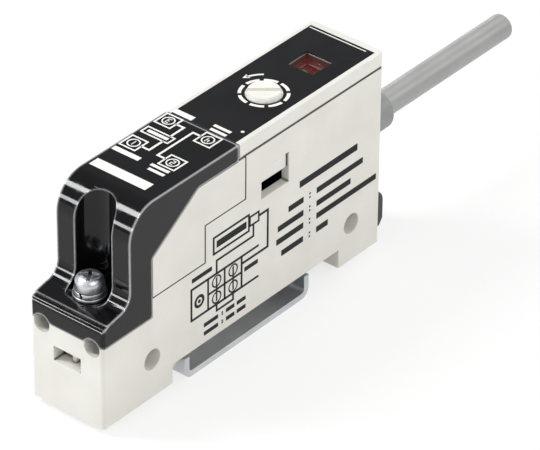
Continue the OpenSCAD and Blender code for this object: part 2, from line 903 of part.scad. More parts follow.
// Ring of points round point i of the route, square to its heading
function ring(pts, i, r, sides) = let (
    h = heading(pts, i),
    side = unit(cross([0, 0, 1], h)),
    up = cross(h, side)
) [for (k = [0:sides - 1]) pts[i]
    + r * cos(360 * (k + 0.5) / sides) * side + r * sin(360 * (k + 0.5) / sides) * up];

// Closed tube of radius r that follows the points
module tube(pts, r, sides = 8) {
    n = len(pts);
    rings = [for (i = [0:n - 1]) each ring(pts, i, r, sides)];
    walls = [for (i = [0:n - 2], k = [0:sides - 1]) let (a = i * sides, b = (k + 1) % sides)
        [a + k, a + sides + k, a + sides + b, a + b]];
    front = [for (k = [0:sides - 1]) k];
    back = [for (k = [0:sides - 1]) n * sides - 1 - k];
    polyhedron(points = rings, faces = concat(walls, [front, back]));
}

module cable() {
    color("#9b9c9a") placed() tube(cable_points, cable_d / 2, 12);
}

module core(i, colour) {
    color(colour) placed() tube(wire_points(i), core_d / 2);
}

module cable_gland() {
    color("#8b8d8c") placed() translate([case_len, 0, cable_z]) rotate([0, 90, 0]) rotate_extrude()
        difference() {
            union() {
                square([gland_r, gland_len]);
                translate([0, -wall]) square([gland_neck_r, wall]);
                translate([0, -wall - gland_flange_t]) square([gland_flange_r, gland_flange_t]);
            }
            translate([0, -cable_inner - cut]) square([gland_bore, gland_len + cable_inner + 2 * cut]);
            corner_waste(gland_r, gland_len, 0.5, 1, 1);
        }
}

// Rail lock

module rail_lock() {
    grip_x = case_len + grip_gap;
    rear_x = grip_x + grip_t;
    color(black_colour) placed() {
        difference() {
            across(lock_w) polygon([
                [notch_end, lock_z], [grip_x + cut, lock_z], [grip_x + cut, lock_z + lock_t],
                [notch_end - lock_reach, lock_z + lock_t],
                [notch_end - lock_reach, lock_z + lock_t - nose_tip_t]
            ]);
            // Window of the spring and the stop
            block_at(
                spring_x, 0, lock_z - cut,
                [spring_len + stop_t + 0.2, spring_d + 0.4, lock_t + 2 * cut]
            );
        }
        across(grip_w) difference() {
            polygon([
                [grip_x, lock_z], [rear_x - grip_chamfer, lock_z],
                [rear_x, lock_z + grip_chamfer * 1.4], [rear_x, lock_z + grip_h],
                [grip_x, lock_z + grip_h]
            ]);
            corner_waste(rear_x, lock_z + grip_h, grip_r, 1, 1);
        }
    }
}

module lock_spring() {
    r = (spring_d - spring_wire) / 2;
    steps = 12;
    z = lock_z + tunnel_h / 2 - slide_fit;
    coil = [for (i = [0:spring_turns * steps]) [
        spring_x + spring_wire / 2 + (spring_len - spring_wire) * i / (spring_turns * steps),
        r * cos(360 * i / steps), z + r * sin(360 * i / steps)
    ]];
    color(steel_colour) placed() tube(coil, spring_wire / 2, 6);
}

// Mounting bracket

module bracket_channel() {
    outer_r = bend_r + sheet_t;
    difference() {
        translate([wall_x, bracket_foot]) square([channel_w, bracket_h - bend_r]);
        translate([wall_x + sheet_t, bracket_foot + sheet_t])
            square([channel_w - 2 * sheet_t, bracket_h]);
        corner_waste(wall_x, bracket_foot, outer_r, -1, -1);
        corner_waste(wall_x + channel_w, bracket_foot, outer_r, 1, -1);
    }
    corner_fill(wall_x + sheet_t, bracket_foot + sheet_t, bend_r, -1, -1);
    corner_fill(wall_x + channel_w - sheet_t, bracket_foot + sheet_t, bend_r, 1, -1);
}

// One flange with the bend that joins it to its wall: s is 1 for the rear one
module bracket_flange(s, len) {
    x = s > 0 ? wall_x + channel_w : wall_x;
    outer_r = bend_r + sheet_t;
    difference() {
        translate([s > 0 ? x - sheet_t : x - len, foot_h - sheet_t]) square([len + sheet_t, sheet_t]);
        corner_waste(x - s * sheet_t, foot_h, outer_r, -s, 1);
    }
    difference() {
        translate([s > 0 ? x - sheet_t : x, foot_h - 2 * outer_r]) square([sheet_t, 2 * outer_r]);
        corner_waste(x - s * sheet_t, foot_h, outer_r, -s, 1);
    }
    corner_fill(x, foot_h - sheet_t, bend_r / 2, -s, 1);
}

module mounting_bracket() {
    rear_flange = rail_w - channel_w - front_flange;
    color(steel_colour) placed() difference() {
        union() {
            across(bracket_w) bracket_channel();
            across(tab_w) union() {
                bracket_flange(-1, front_flange);
                bracket_flange(1, rear_flange);
            }
        }
        for (s = [-1, 1]) translate([bracket_mid + s * bracket_hole_pitch / 2, 0, bracket_foot - cut])
            cylinder(r = bracket_hole_r, h = sheet_t + 2 * cut);
    }
}

case();
top_lid();
top_label();
led_window();
terminal_cover();
cover_screw();
spring_washer();
flat_washer();
screw_insert();
terminal_block();
terminal_screw(0);  // terminal_screw_1
terminal_screw(1);  // terminal_screw_2
terminal_screw(2);  // terminal_screw_3
terminal_screw(3);  // terminal_screw_4
terminal_clamp(0);  // terminal_clamp_1
terminal_clamp(1);  // terminal_clamp_2
terminal_clamp(2);  // terminal_clamp_3
terminal_clamp(3);  // terminal_clamp_4
terminal_plate(0);  // terminal_plate_1
terminal_plate(1);  // terminal_plate_2
terminal_plate(2);  // terminal_plate_3
terminal_plate(3);  // terminal_plate_4
circuit_board();
trimmer();
adjuster();
led_body(window_y - led_pitch / 2, led_drops[0], "#d9482b");  // operation_led
led_body(window_y + led_pitch / 2, led_drops[1], "#4fae54");  // stability_led
on_board(chip_at, chip_size);  // detector_chip
smoothing_capacitor();
output_transistor(0);  // output_transistor_1
output_transistor(1);  // output_transistor_2
on_board(regulator_at, regulator_size);  // voltage_regulator
cable_gland();
cable();
core(0, "#b8332a");  // core_red
core(1, "#eceae4");  // core_white
core(2, "#d9b22e");  // core_yellow
core(3, "#262628");  // core_black
rail_lock();
lock_spring();
mounting_bracket();
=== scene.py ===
"""Looks of a rail-mounted sensor amplifier: its pieces, finishes, light and camera."""

import json
import logging
import math
from contextlib import contextmanager
from dataclasses import dataclass
from enum import Enum
from typing import Iterator, Sequence

import bmesh
import bpy
from mathutils import Matrix, Vector

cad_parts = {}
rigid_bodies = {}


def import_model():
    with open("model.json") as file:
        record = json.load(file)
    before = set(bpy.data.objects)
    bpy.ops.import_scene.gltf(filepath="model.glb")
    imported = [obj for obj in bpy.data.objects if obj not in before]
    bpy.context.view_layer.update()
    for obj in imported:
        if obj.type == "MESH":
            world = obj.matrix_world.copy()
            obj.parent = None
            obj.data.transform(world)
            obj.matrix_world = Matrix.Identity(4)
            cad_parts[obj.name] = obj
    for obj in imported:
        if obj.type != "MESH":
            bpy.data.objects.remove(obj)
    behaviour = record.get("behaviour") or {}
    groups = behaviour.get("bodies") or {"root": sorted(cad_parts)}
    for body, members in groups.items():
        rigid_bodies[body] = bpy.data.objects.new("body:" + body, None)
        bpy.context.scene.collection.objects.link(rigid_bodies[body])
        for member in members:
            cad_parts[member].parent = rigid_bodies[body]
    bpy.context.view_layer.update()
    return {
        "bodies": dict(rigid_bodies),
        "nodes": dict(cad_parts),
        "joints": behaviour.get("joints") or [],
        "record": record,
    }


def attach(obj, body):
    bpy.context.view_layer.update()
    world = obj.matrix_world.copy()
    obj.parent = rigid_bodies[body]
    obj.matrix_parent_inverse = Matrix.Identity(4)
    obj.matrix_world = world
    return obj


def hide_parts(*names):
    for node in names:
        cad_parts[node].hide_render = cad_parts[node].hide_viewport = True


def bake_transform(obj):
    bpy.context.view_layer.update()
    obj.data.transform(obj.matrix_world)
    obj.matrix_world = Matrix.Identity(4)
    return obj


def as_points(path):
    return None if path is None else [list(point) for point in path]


LOG = logging.getLogger("amplifier")

MM = 0.001

# Sizes of the part's source, in millimetres behind the front face, from the near side and
# above the soles
CASE_ORIGIN = Vector((-30.2, -6.5, 1.1))
CASE_WIDTH = 13.0
CASE_HEIGHT = 32.0
ADJUSTER = (40.3, 5.8)

# Input sockets of a node that mixes two colours, and its output
SHARE, FIRST, SECOND, MIXED = 0, 6, 7, 2

Point = tuple[float, float]
Place = tuple[float, float, float]


def linear(colour: str) -> tuple[float, float, float, float]:
    """Turns an sRGB hex colour into linear light.

    Args:
        colour: Six hex digits after a hash.

    Returns:
        Red, green, blue and full alpha.
    """
    parts = [int(colour[i:i + 2], 16) / 255 for i in (1, 3, 5)]
    light = [c / 12.92 if c <= 0.04045 else ((c + 0.055) / 1.055) ** 2.4 for c in parts]
    return (*light, 1.0)


def in_case(x: float, y: float, z: float) -> Vector:
    """Turns case millimetres into metres of the frame.

    Args:
        x: Distance behind the front face.
        y: Distance from the near side.
        z: Height above the soles.

    Returns:
        The point in the frame.
    """
    return (Vector((x, y, z)) + CASE_ORIGIN) * MM


# Finishes


class Grain(Enum):
    """Surface structure that a finish carries.

    The picture shows about 15 px to the mm, so structures under 0.1 mm are drawn coarser.
    """

    # Spark-eroded mould texture, 0.03 mm in the real one and drawn at 0.1 to 0.16 mm
    MOULDED = "fine spark-eroded texture of a moulding"
    # Hairlines of wiping, 0.01 mm in the real one and drawn at 0.09 mm
    POLISHED = "gloss with faint hairlines"
    # Rolling and drawing streaks, 0.03 mm in the real one and drawn at 0.12 to 0.25 mm
    PLATED = "zinc or nickel with drawn streaks"
    # Copper tracks at their real pitch of 1.3 mm
    LAMINATE = "solder mask over copper tracks"
    # Die lines, 0.04 mm in the real one and drawn at 0.06 to 0.12 mm
    EXTRUDED = "soft jacket with lengthwise lines"
    # Matt grain of a print, 0.05 mm in the real one and drawn at 0.1 to 0.3 mm
    FILM = "thin printed film"


@dataclass(frozen=True)
class Finish:
    """Colour and surface of one material.

    Attributes:
        name: Common name of the material and how its surface was made.
        colour: Main colour as sRGB hex.
        second: Colour that the main one drifts towards.
        roughness: Middle roughness.
        grain: Structure of the surface.
        grain_mm: Size of the structure.
        depth_mm: Depth of the structure.
        spread: How far the roughness varies round its middle.
        metallic: One for metals.
        transmission: Share of light that passes through.
        ior: Refractive index.
        coat: Weight of a clear coat.
        subsurface: Weight of the light that soaks in.
        crevice_shade: How much painted shade darkens the crevices.
        edge_highlight: Colour of the highlight painted along the convex edges, where it shows.
        specular: Share of the plain reflection that stays.
        alpha: How far the piece hides what is behind it.
    """

    name: str
    colour: str
    second: str
    roughness: float
    grain: Grain
    grain_mm: float
    depth_mm: float
    spread: float = 0.06
    metallic: float = 0.0
    transmission: float = 0.0
    ior: float = 1.5
    coat: float = 0.0
    subsurface: float = 0.0
    crevice_shade: float = 0.0
    edge_highlight: str = ""
    specular: float = 0.5
    alpha: float = 1.0


FINISHES: dict[str, Finish] = {
    # Warm ivory with a soft highlight, and painted shade that darkens the seams
    "case_plastic": Finish(
        "abs_moulded_textured", "#dedcd6", "#d6d4cc", 0.46, Grain.MOULDED, 0.16, 0.006,
        ior=1.54, subsurface=0.04, crevice_shade=0.95,
    ),
    # The same plastic out of a finer mould, so a shade smoother, with painted shade in its
    # crevices too
    "lid_plastic": Finish(
        "abs_moulded_fine", "#e0deda", "#d8d6cf", 0.42, Grain.MOULDED, 0.14, 0.005,
        ior=1.54, subsurface=0.04, crevice_shade=0.95,
    ),
    # Near black and flat, with only a faint sheen
    "label_film": Finish(
        "polyester_film_matt", "#101012", "#161618", 0.36, Grain.FILM, 0.25, 0.003,
        specular=0.15,
    ),
    # Dark red glass-like lens with a sharp highlight
    "red_lens": Finish(
        "acrylic_moulded_red", "#8f1612", "#7d120f", 0.06, Grain.POLISHED, 0.5, 0.001,
        transmission=0.3, ior=1.49, alpha=0.25,
    ),
    # Dark glossy shell with crisp reflections, and a highlight painted in a light colour along
    # its edges
    "smoked_cover": Finish(
        "polycarbonate_moulded_smoked", "#111113", "#0c0c0e", 0.09, Grain.POLISHED, 0.6, 0.001,
        transmission=0.2, ior=1.585, edge_highlight="#c6c6ca", specular=0.17,
    ),
    # Bright cool metal with a satin sheen, and painted shade that keeps the recesses dark
    "plated_steel": Finish(
        "steel_nickel_plated", "#e0e2e4", "#cfd2d6", 0.4, Grain.PLATED, 0.12, 0.003,
        spread=0.08, metallic=1.0, crevice_shade=0.95,
    ),
    # Yellow metal that has kept the lines of the lathe
    "brass": Finish(
        "brass_turned", "#cfa34c", "#b5862f", 0.28, Grain.PLATED, 0.12, 0.003,
        spread=0.1, metallic=1.0,
    ),
    # Green satin with raised tracks
    "board": Finish(
        "glass_epoxy_solder_masked", "#1d5a34", "#2f7a4a", 0.35, Grain.LAMINATE, 1.3, 0.02,
        ior=1.55, coat=0.4,
    ),
    # Plain blue body with a dull sheen
    "trimmer_blue": Finish(
        "nylon_moulded_blue", "#24569c", "#1d4985", 0.4, Grain.MOULDED, 0.1, 0.004, ior=1.53
    ),
    # Waxy white that lets light soak in
    "adjuster_plastic": Finish(
        "acetal_moulded_white", "#e9e8e2", "#dfddd5", 0.34, Grain.MOULDED, 0.1, 0.003,
        ior=1.48, subsurface=0.08,
    ),
    # Clear tinted domes
    **{f"{tint}_lamp": Finish(
        f"epoxy_cast_{tint}", colour, second, 0.15, Grain.POLISHED, 0.4, 0.001,
        transmission=0.35, ior=1.54,
    ) for tint, colour, second in (
        ("red", "#d4382a", "#b82a1f"), ("green", "#3fae52", "#2f9443"),
    )},
    # Dull near-black packages
    "black_resin": Finish(
        "epoxy_moulded_black", "#1c1c1f", "#262629", 0.55, Grain.MOULDED, 0.08, 0.004, ior=1.55
    ),
    # Tight dark skin with a satin shine
    "capacitor_can": Finish(
        "pvc_sleeve_shrunk", "#22262c", "#2c3138", 0.3, Grain.FILM, 0.3, 0.003, ior=1.54,
        coat=0.2,
    ),
    # Mid grey and soft, with a broad highlight
    "gland_rubber": Finish(
        "soft_pvc_moulded", "#8a8c8b", "#7c7e7d", 0.5, Grain.MOULDED, 0.12, 0.006, ior=1.53,
        subsurface=0.04,
    ),
    # Lighter grey, smoother, with a highlight that runs along it
    "cable_jacket": Finish(
        "pvc_extruded_grey", "#9c9d9b", "#8f908e", 0.4, Grain.EXTRUDED, 0.12, 0.006, ior=1.53,
        subsurface=0.04,
    ),
    # Smooth coloured insulation with a narrow highlight
    **{f"wire_{tint}": Finish(
        f"pvc_extruded_{tint}", colour, second, 0.38, Grain.EXTRUDED, 0.06, 0.002, ior=1.53
    ) for tint, colour, second in (
        ("red", "#b5281f", "#9c1f18"), ("white", "#e6e4dd", "#d9d6cc"),
        ("yellow", "#dcb128", "#c99d1d"), ("black", "#1d1d1f", "#29292c"),
    )},
    # Black with the slight grease of a sliding plastic
    "lock_plastic": Finish(
        "acetal_moulded_black", "#1e1e20", "#28282b", 0.4, Grain.MOULDED, 0.12, 0.005, ior=1.48
    ),
    # Bright thin wire
    "spring_steel": Finish(
        "spring_steel_drawn", "#b9bcc0", "#9fa3a8", 0.26, Grain.PLATED, 0.05, 0.001,
        metallic=1.0,
    ),
    # Silvery satin sheet with rolling lines
    "bracket_steel": Finish(
        "steel_sheet_zinc_plated", "#d2d4d6", "#bcc0c4", 0.42, Grain.PLATED, 0.25, 0.004,
        spread=0.1, metallic=1.0,
    ),
    # Matt prints that hide the sheen under them; the dark ink also paints shadow lines along
    # the seams
    "ink_dark": Finish(
        "ink_printed_dark_and_seam_shadow", "#161618", "#1f1f21", 0.6, Grain.FILM, 0.1, 0.002, ior=1.3
    ),
    "ink_white": Finish("ink_printed_white", "#ecece8", "#e2e2dd", 0.5, Grain.FILM, 0.1, 0.002),
    # Warm bare strands at the cut end of a wire
    "copper": Finish(
        "copper_drawn", "#c67a4e", "#a9633c", 0.3, Grain.PLATED, 0.05, 0.002, metallic=1.0
    ),
}


class Graph:
    """Node graph of one material.

    Attributes:
        PATCHES: Range of a structure that is left as patches with soft edges.
    """

    PATCHES = (0.3, 0.7)

    def __init__(self, name: str) -> None:
        """Starts a material that holds only its surface shader.

        Args:
            name: Name of the material.
        """
        self.material = bpy.data.materials.new(name)
        self.material.use_nodes = True
        self.nodes = self.material.node_tree.nodes
        self.links = self.material.node_tree.links
        self.shader = self.nodes["Principled BSDF"]
        self.place = self.add("ShaderNodeTexCoord", out="Object")

    def add(self, kind: str, inputs: dict | tuple = (), out: int | str = 0,
            **settings: object) -> bpy.types.NodeSocket:
        """Adds one node with its settings and links.

        Args:
            kind: Type of the node.
            inputs: Values or sockets for its inputs, by name or number or in their order.
            out: The output that is wanted.
            **settings: Properties of the node.

        Returns:
            That output.
        """
        node = self.nodes.new(kind)
        for key, value in settings.items():
            setattr(node, key, value)
        for key, value in inputs.items() if isinstance(inputs, dict) else enumerate(inputs):
            if isinstance(value, bpy.types.NodeSocket):
                self.links.new(value, node.inputs[key])
            else:
                node.inputs[key].default_value = value
        return node.outputs[out]

    def structure(
        self, size_mm: float, detail: float = 2.0, scale: Sequence[float] = (1, 1, 1)
    ) -> bpy.types.NodeSocket:
        """Adds an irregular structure with features of a real size.

        Args:
            size_mm: Size of its features.
            detail: Number of finer layers.
            scale: Scale of the space along each axis, less than one where it is drawn out.

        Returns:
            The structure between zero and one.
        """
        space = self.add("ShaderNodeMapping", {"Vector": self.place, "Scale": scale})
        return self.add("ShaderNodeTexNoise", {
            "Vector": space, "Scale": 1 / (size_mm * MM), "Detail": detail,
        }, "Fac")

    def relief(self, height: bpy.types.NodeSocket, depth_mm: float) -> None:
        """Adds relief on top of what the shader already has.

        Args:
            height: Height between zero and one.
            depth_mm: Depth that a height of one stands for.
        """
        inputs = {"Height": height, "Distance": depth_mm * MM, "Strength": 1.0}
        normal = self.shader.inputs["Normal"]
        if normal.links:
            inputs["Normal"] = normal.links[0].from_socket
        self.links.new(self.add("ShaderNodeBump", inputs), normal)


class MaterialShop:
    """Makes the material of each finish once.

    Attributes:
        STREAKS: Scale of the space along each axis, for the grains that have a direction.
        DRIFT_MM: Size of the patches in which the colour drifts.
        SCUFF_MM: Size of the patches in which the roughness changes.
        SCUFF_SCALE: Scale of the space along each axis for them.
        SCUFFS: Range of their structure, and the change of roughness that it stands for.
        HAIR_MM: Width of a hairline on a polished piece, drawn coarser than the real 0.01 mm.
        HAIR_SCALE: Scale of the space along each axis for it.
        HAIRS: Range of the structure that is left as hairlines.
        HAIR_DEPTH: Depth of a hairline as a share of the finish's own depth.
        WAVE_MM: Size of the slow waves of a polished moulding.
        COAT_ROUGHNESS: Roughness of a clear coat.
        SOAK_M: How far light soaks into a pale plastic.
        SPECKS: Range of the grain that shows as specks, and their share.
        CREVICE_MM: Reach of the painted shade in a crevice and of the painted highlight along
            an edge.
        CREVICE_SHADE_COLOUR: Colour of the painted shade in a crevice.
        CREVICE_SHADE_RANGE: Openness at which the painted shade is full and at which it ends.
        EDGE_HIGHLIGHT_RANGE: Closeness at which the painted highlight is full and at which it
            ends.
        EDGE_HIGHLIGHT_SHARE: Greatest share of the painted highlight.
        TRACK: Colour of a copper track under the solder mask.
        TRACK_CELLS: Width of the tracks and size of the fields between them, as shares of
            their pitch.
        TRACK_SHIFT: Shift of every second row of fields.
    """

    STREAKS = {Grain.PLATED: (1, 0.12, 1), Grain.EXTRUDED: (0.05, 1, 1)}
    DRIFT_MM = 7.0
    SCUFF_MM = 1.6
    SCUFF_SCALE = (0.2, 1, 1)
    SCUFFS = (0.35, 0.75, -1.0, 1.0)
    HAIR_MM = 0.09
    HAIR_SCALE = (0.04, 1, 1)
    HAIRS = (0.7, 0.76)
    HAIR_DEPTH = 0.3
    WAVE_MM = 3.0
    COAT_ROUGHNESS = 0.2
    SOAK_M = 0.0008
    SPECKS = (0.62, 0.78, 0.0, 0.35)
    CREVICE_MM = 0.5
    CREVICE_SHADE_COLOUR = "#3a3733"
    CREVICE_SHADE_RANGE = (0.5, 0.93)
    EDGE_HIGHLIGHT_RANGE = (0.5, 0.86)
    EDGE_HIGHLIGHT_SHARE = 0.9
    TRACK = "#4c9d63"
    TRACK_CELLS = {"Mortar Size": 0.08, "Brick Width": 2.6, "Row Height": 0.7}
    TRACK_SHIFT = 0.35

    def __init__(self) -> None:
        """Starts with no material made."""
        self._made: dict[str, bpy.types.Material] = {}

    def get(self, name: str) -> bpy.types.Material:
        """Returns the material of a finish, making it on first use.

        Args:
            name: Name of the finish.

        Returns:
            The material.
        """
        if name not in self._made:
            self._made[name] = self._build(FINISHES[name])
        return self._made[name]

    def _build(self, finish: Finish) -> bpy.types.Material:
        """Makes the material of a finish.

        Args:
            finish: The finish.

        Returns:
            The material.
        """
        graph = Graph(finish.name)
        shader = graph.shader.inputs
        for key, value in {
            "Metallic": finish.metallic, "IOR": finish.ior, "Coat Weight": finish.coat,
            "Transmission Weight": finish.transmission,
            "Coat Roughness": self.COAT_ROUGHNESS,
            "Subsurface Weight": finish.subsurface, "Subsurface Scale": self.SOAK_M,
            "Specular IOR Level": finish.specular, "Alpha": finish.alpha,
        }.items():
            shader[key].default_value = value
        fine = graph.structure(
            finish.grain_mm, 3.0, self.STREAKS.get(finish.grain, (1, 1, 1))
        )
        colour = self._paint_shade_and_highlight(graph, finish, self._colour(graph, finish, fine))
        graph.links.new(colour, shader["Base Color"])
        scuffs = graph.structure(self.SCUFF_MM, 4.0, self.SCUFF_SCALE)
        change = graph.add("ShaderNodeMapRange", (scuffs, *self.SCUFFS))
        rough = graph.add(
            "ShaderNodeMath", (change, finish.spread, finish.roughness),
            operation="MULTIPLY_ADD", use_clamp=True,
        )
        graph.links.new(rough, shader["Roughness"])
        if finish.grain is Grain.POLISHED:
            hairs = graph.structure(self.HAIR_MM, 1.0, self.HAIR_SCALE)
            hairs = graph.add("ShaderNodeMapRange", (hairs, *self.HAIRS))
            graph.relief(hairs, finish.depth_mm * self.HAIR_DEPTH)
            fine = graph.structure(self.WAVE_MM)
        graph.relief(fine, finish.depth_mm)
        return graph.material

    def _colour(self, graph: Graph, finish: Finish, fine: bpy.types.NodeSocket
                ) -> bpy.types.NodeSocket:
        """Mixes the two colours of a finish in slow patches, tracks and fine specks.

        Args:
            graph: Graph of the material.
            finish: The finish.
            fine: Its fine structure.

        Returns:
            The mixed colour.
        """
        second = linear(finish.second)
        drift = graph.structure(self.DRIFT_MM, 3.0)
        drift = graph.add("ShaderNodeMapRange", (drift, *graph.PATCHES))
        colour = graph.add("ShaderNodeMix", {
            SHARE: drift, FIRST: linear(finish.colour), SECOND: second,
        }, MIXED, data_type="RGBA")
        if finish.grain is Grain.LAMINATE:
            colour = self._tracks(graph, finish, colour)
        if finish.grain in (Grain.PLATED, Grain.MOULDED):
            specks = graph.add("ShaderNodeMapRange", (fine, *self.SPECKS))
            colour = graph.add("ShaderNodeMix", {
                SHARE: specks, FIRST: colour, SECOND: second,
            }, MIXED, data_type="RGBA")
        return colour

    def _paint_shade_and_highlight(self, graph: Graph, finish: Finish, colour: bpy.types.NodeSocket
              ) -> bpy.types.NodeSocket:
        """Paints shade into the crevices and a highlight along the convex edges.

        Args:
            graph: Graph of the material.
            finish: The finish.
            colour: Its colour before the painted shade and highlight.

        Returns:
            The colour with the painted shade and highlight.
        """
        # Ambient occlusion paints shade into crevices; cast inside the mesh, it paints a
        # highlight along convex edges
        shade_pass = (self.CREVICE_SHADE_COLOUR, finish.crevice_shade, self.CREVICE_SHADE_RANGE, {"samples": 12})
        highlight_pass = (finish.edge_highlight, self.EDGE_HIGHLIGHT_SHARE, self.EDGE_HIGHLIGHT_RANGE,
                {"samples": 16, "inside": True})
        for tint, most, limits, settings in (shade_pass, highlight_pass):
            if tint and most:
                near = graph.add("ShaderNodeAmbientOcclusion", {
                    "Distance": self.CREVICE_MM * MM,
                }, "AO", **settings)
                share = graph.add("ShaderNodeMapRange", (near, *limits, most, 0.0))
                colour = graph.add("ShaderNodeMix", {
                    SHARE: share, FIRST: colour, SECOND: linear(tint),
                }, MIXED, data_type="RGBA")
        return colour

    def _tracks(self, graph: Graph, finish: Finish, colour: bpy.types.NodeSocket
                ) -> bpy.types.NodeSocket:
        """Draws copper tracks that stand up under the solder mask.

        Args:
            graph: Graph of the material.
            finish: The finish.
            colour: Colour between the tracks.

        Returns:
            The colour with the tracks.
        """
        space = graph.add("ShaderNodeMapping", {
            "Vector": graph.place, "Rotation": (math.radians(90), 0, 0),
        })
        black = (0, 0, 0, 1)
        tracks = graph.add("ShaderNodeTexBrick", {
            "Vector": space, "Scale": 1 / (finish.grain_mm * MM), **self.TRACK_CELLS,
            "Color1": black, "Color2": black, "Mortar": (1, 1, 1, 1),
        }, "Color", offset=self.TRACK_SHIFT)
        graph.relief(tracks, finish.depth_mm)
        return graph.add("ShaderNodeMix", {
            SHARE: tracks, FIRST: colour, SECOND: linear(self.TRACK),
        }, MIXED, data_type="RGBA")


# Print


@dataclass(frozen=True)
class Panel:
    """Flat face that carries print.

    Attributes:
        origin: Where both of its measures are zero.
        u: Direction of the first measure.
        v: Direction of the second measure.
    """

    origin: Vector
    u: Vector
    v: Vector

    def matrix(self) -> Matrix:
        """Returns the turn and shift from millimetres on the face to the frame."""
        normal = self.u.cross(self.v)
        turn = Matrix((self.u, self.v, normal)).transposed().to_4x4()
        return Matrix.Translation(self.origin) @ turn @ Matrix.Scale(MM, 4)


@dataclass(frozen=True)
class Bar:
    """Filled rectangle between two corners.

    Attributes:
        u0: First measure of one corner.
        v0: Its second measure.
        u1: First measure of the other corner.
        v1: Its second measure.
    """

    u0: float
    v0: float
    u1: float
    v1: float

    def draw(self) -> None:
        """Adds the mark to the piece in edit mode."""
        middle = ((self.u0 + self.u1) / 2, (self.v0 + self.v1) / 2, 0)
        bpy.ops.mesh.primitive_plane_add(size=1, location=middle)
        size = (abs(self.u1 - self.u0), abs(self.v1 - self.v0), 1)
        bpy.ops.transform.resize(value=size, center_override=middle)


@dataclass(frozen=True)
class Outline(Bar):
    """Rectangle drawn with a line inside its corners.

    Attributes:
        line: Width of the line.
    """

    line: float

    def draw(self) -> None:
        """Adds the mark to the piece in edit mode."""
        super().draw()
        bpy.ops.mesh.inset(thickness=self.line)
        bpy.ops.mesh.delete(type="FACE")


@dataclass(frozen=True)
class Arc:
    """Ring, or part of one between two angles.

    Attributes:
        u: First measure of the middle.
        v: Its second measure.
        r: Outer radius.
        line: Width of the line.
        start: First angle, in degrees.
        end: Last angle, in degrees.
    """

    u: float
    v: float
    r: float
    line: float
    start: float = -180.0
    end: float = 180.0

    def draw(self) -> None:
        """Adds the mark to the piece in edit mode."""
        bpy.ops.mesh.primitive_circle_add(
            vertices=72, radius=self.r, fill_type="NGON", location=(self.u, self.v, 0)
        )
        bpy.ops.mesh.inset(thickness=self.line)
        mesh = bmesh.from_edit_mesh(bpy.context.object.data)
        inner = next(face for face in mesh.faces if face.select)
        for face in {f for edge in inner.edges for f in edge.link_faces} - {inner}:
            middle = face.calc_center_median() - Vector((self.u, self.v, 0))
            angle = math.degrees(math.atan2(middle.y, middle.x))
            face.select = not self.start <= angle <= self.end
        bmesh.update_edit_mesh(bpy.context.object.data)
        bpy.ops.mesh.delete(type="FACE")


@dataclass(frozen=True)
class Dot:
    """Filled disc, or a triangle where it has three corners.

    Attributes:
        u: First measure of the middle.
        v: Its second measure.
        r: Radius.
        corners: Number of corners.
        turn: Turn about the middle, in degrees.
    """

    u: float
    v: float
    r: float
    corners: int = 24
    turn: float = 0.0

    def draw(self) -> None:
        """Adds the mark to the piece in edit mode."""
        bpy.ops.mesh.primitive_circle_add(
            vertices=self.corners, radius=self.r, fill_type="NGON",
            location=(self.u, self.v, 0), rotation=(0, 0, math.radians(self.turn)),
        )


@dataclass(frozen=True)
class Line:
    """Line through points that turn at right angles.

    Attributes:
        points: Both measures of each point.
        line: Width of the line.
    """

    points: tuple[Point, ...]
    line: float

    def draw(self) -> None:
        """Adds the mark to the piece in edit mode."""
        half = self.line / 2
        last = len(self.points) - 2
        for i, (start, end) in enumerate(zip(self.points, self.points[1:])):
            a, b = Vector(start), Vector(end)
            along = (b - a).normalized() * half
            a, b = a - along, b + (along if i == last else -along)
            side = Vector((abs(along.y), abs(along.x)))
            low = Vector((min(a.x, b.x), min(a.y, b.y))) - side
            high = Vector((max(a.x, b.x), max(a.y, b.y))) + side
            Bar(low.x, low.y, high.x, high.y).draw()


# Strokes of the plain numbers, in a square of one by one
DIGITS: dict[int, tuple[tuple[Point, ...], ...]] = {
    1: (((0.5, 0), (0.5, 1)),),
    2: (((0, 1), (1, 1), (1, 0.5), (0, 0.5), (0, 0), (1, 0)),),
    3: (((0, 1), (1, 1), (1, 0), (0, 0)), ((0.2, 0.5), (0.8, 0.5))),
    4: (((0, 1), (0, 0.5), (0.8, 0.5)), ((1, 0), (1, 1))),
}


@dataclass(frozen=True)
class Digit:
    """Plain number of a terminal, upright as seen from the cable end.

    Attributes:
        value: The number.
        u: First measure of the middle.
        v: Its second measure.
        height: Its height.
        width: Its width.
        line: Width of the strokes.
    """

    value: int
    u: float
    v: float
    height: float = 0.9
    width: float = 0.45
    line: float = 0.14

    def draw(self) -> None:
        """Adds the mark to the piece in edit mode."""
        for stroke in DIGITS[self.value]:
            Line(tuple(
                (self.u + (0.5 - y) * self.height, self.v + (x - 0.5) * self.width)
                for x, y in stroke
            ), self.line).draw()


Mark = Bar | Arc | Dot | Line | Digit


@dataclass(frozen=True)
class Print:
    """Marks that are printed on one face as a thin film of ink.

    Attributes:
        name: Name of the piece.
        panel: Face that carries it.
        marks: The marks, in mm on the face.
        slot: Material slot of the record.
        body: CAD body.
        ink: Finish of the ink.
    """

    name: str
    panel: Panel
    marks: tuple[Mark, ...]
    slot: str
    body: str
    ink: str


NEAR_SIDE = Panel(in_case(0, 0, 0), Vector((1, 0, 0)), Vector((0, 0, 1)))
FAR_SIDE = Panel(in_case(0, CASE_WIDTH, 0), Vector((-1, 0, 0)), Vector((0, 0, 1)))
TOP = Panel(in_case(0, 0, CASE_HEIGHT), Vector((1, 0, 0)), Vector((0, 1, 0)))

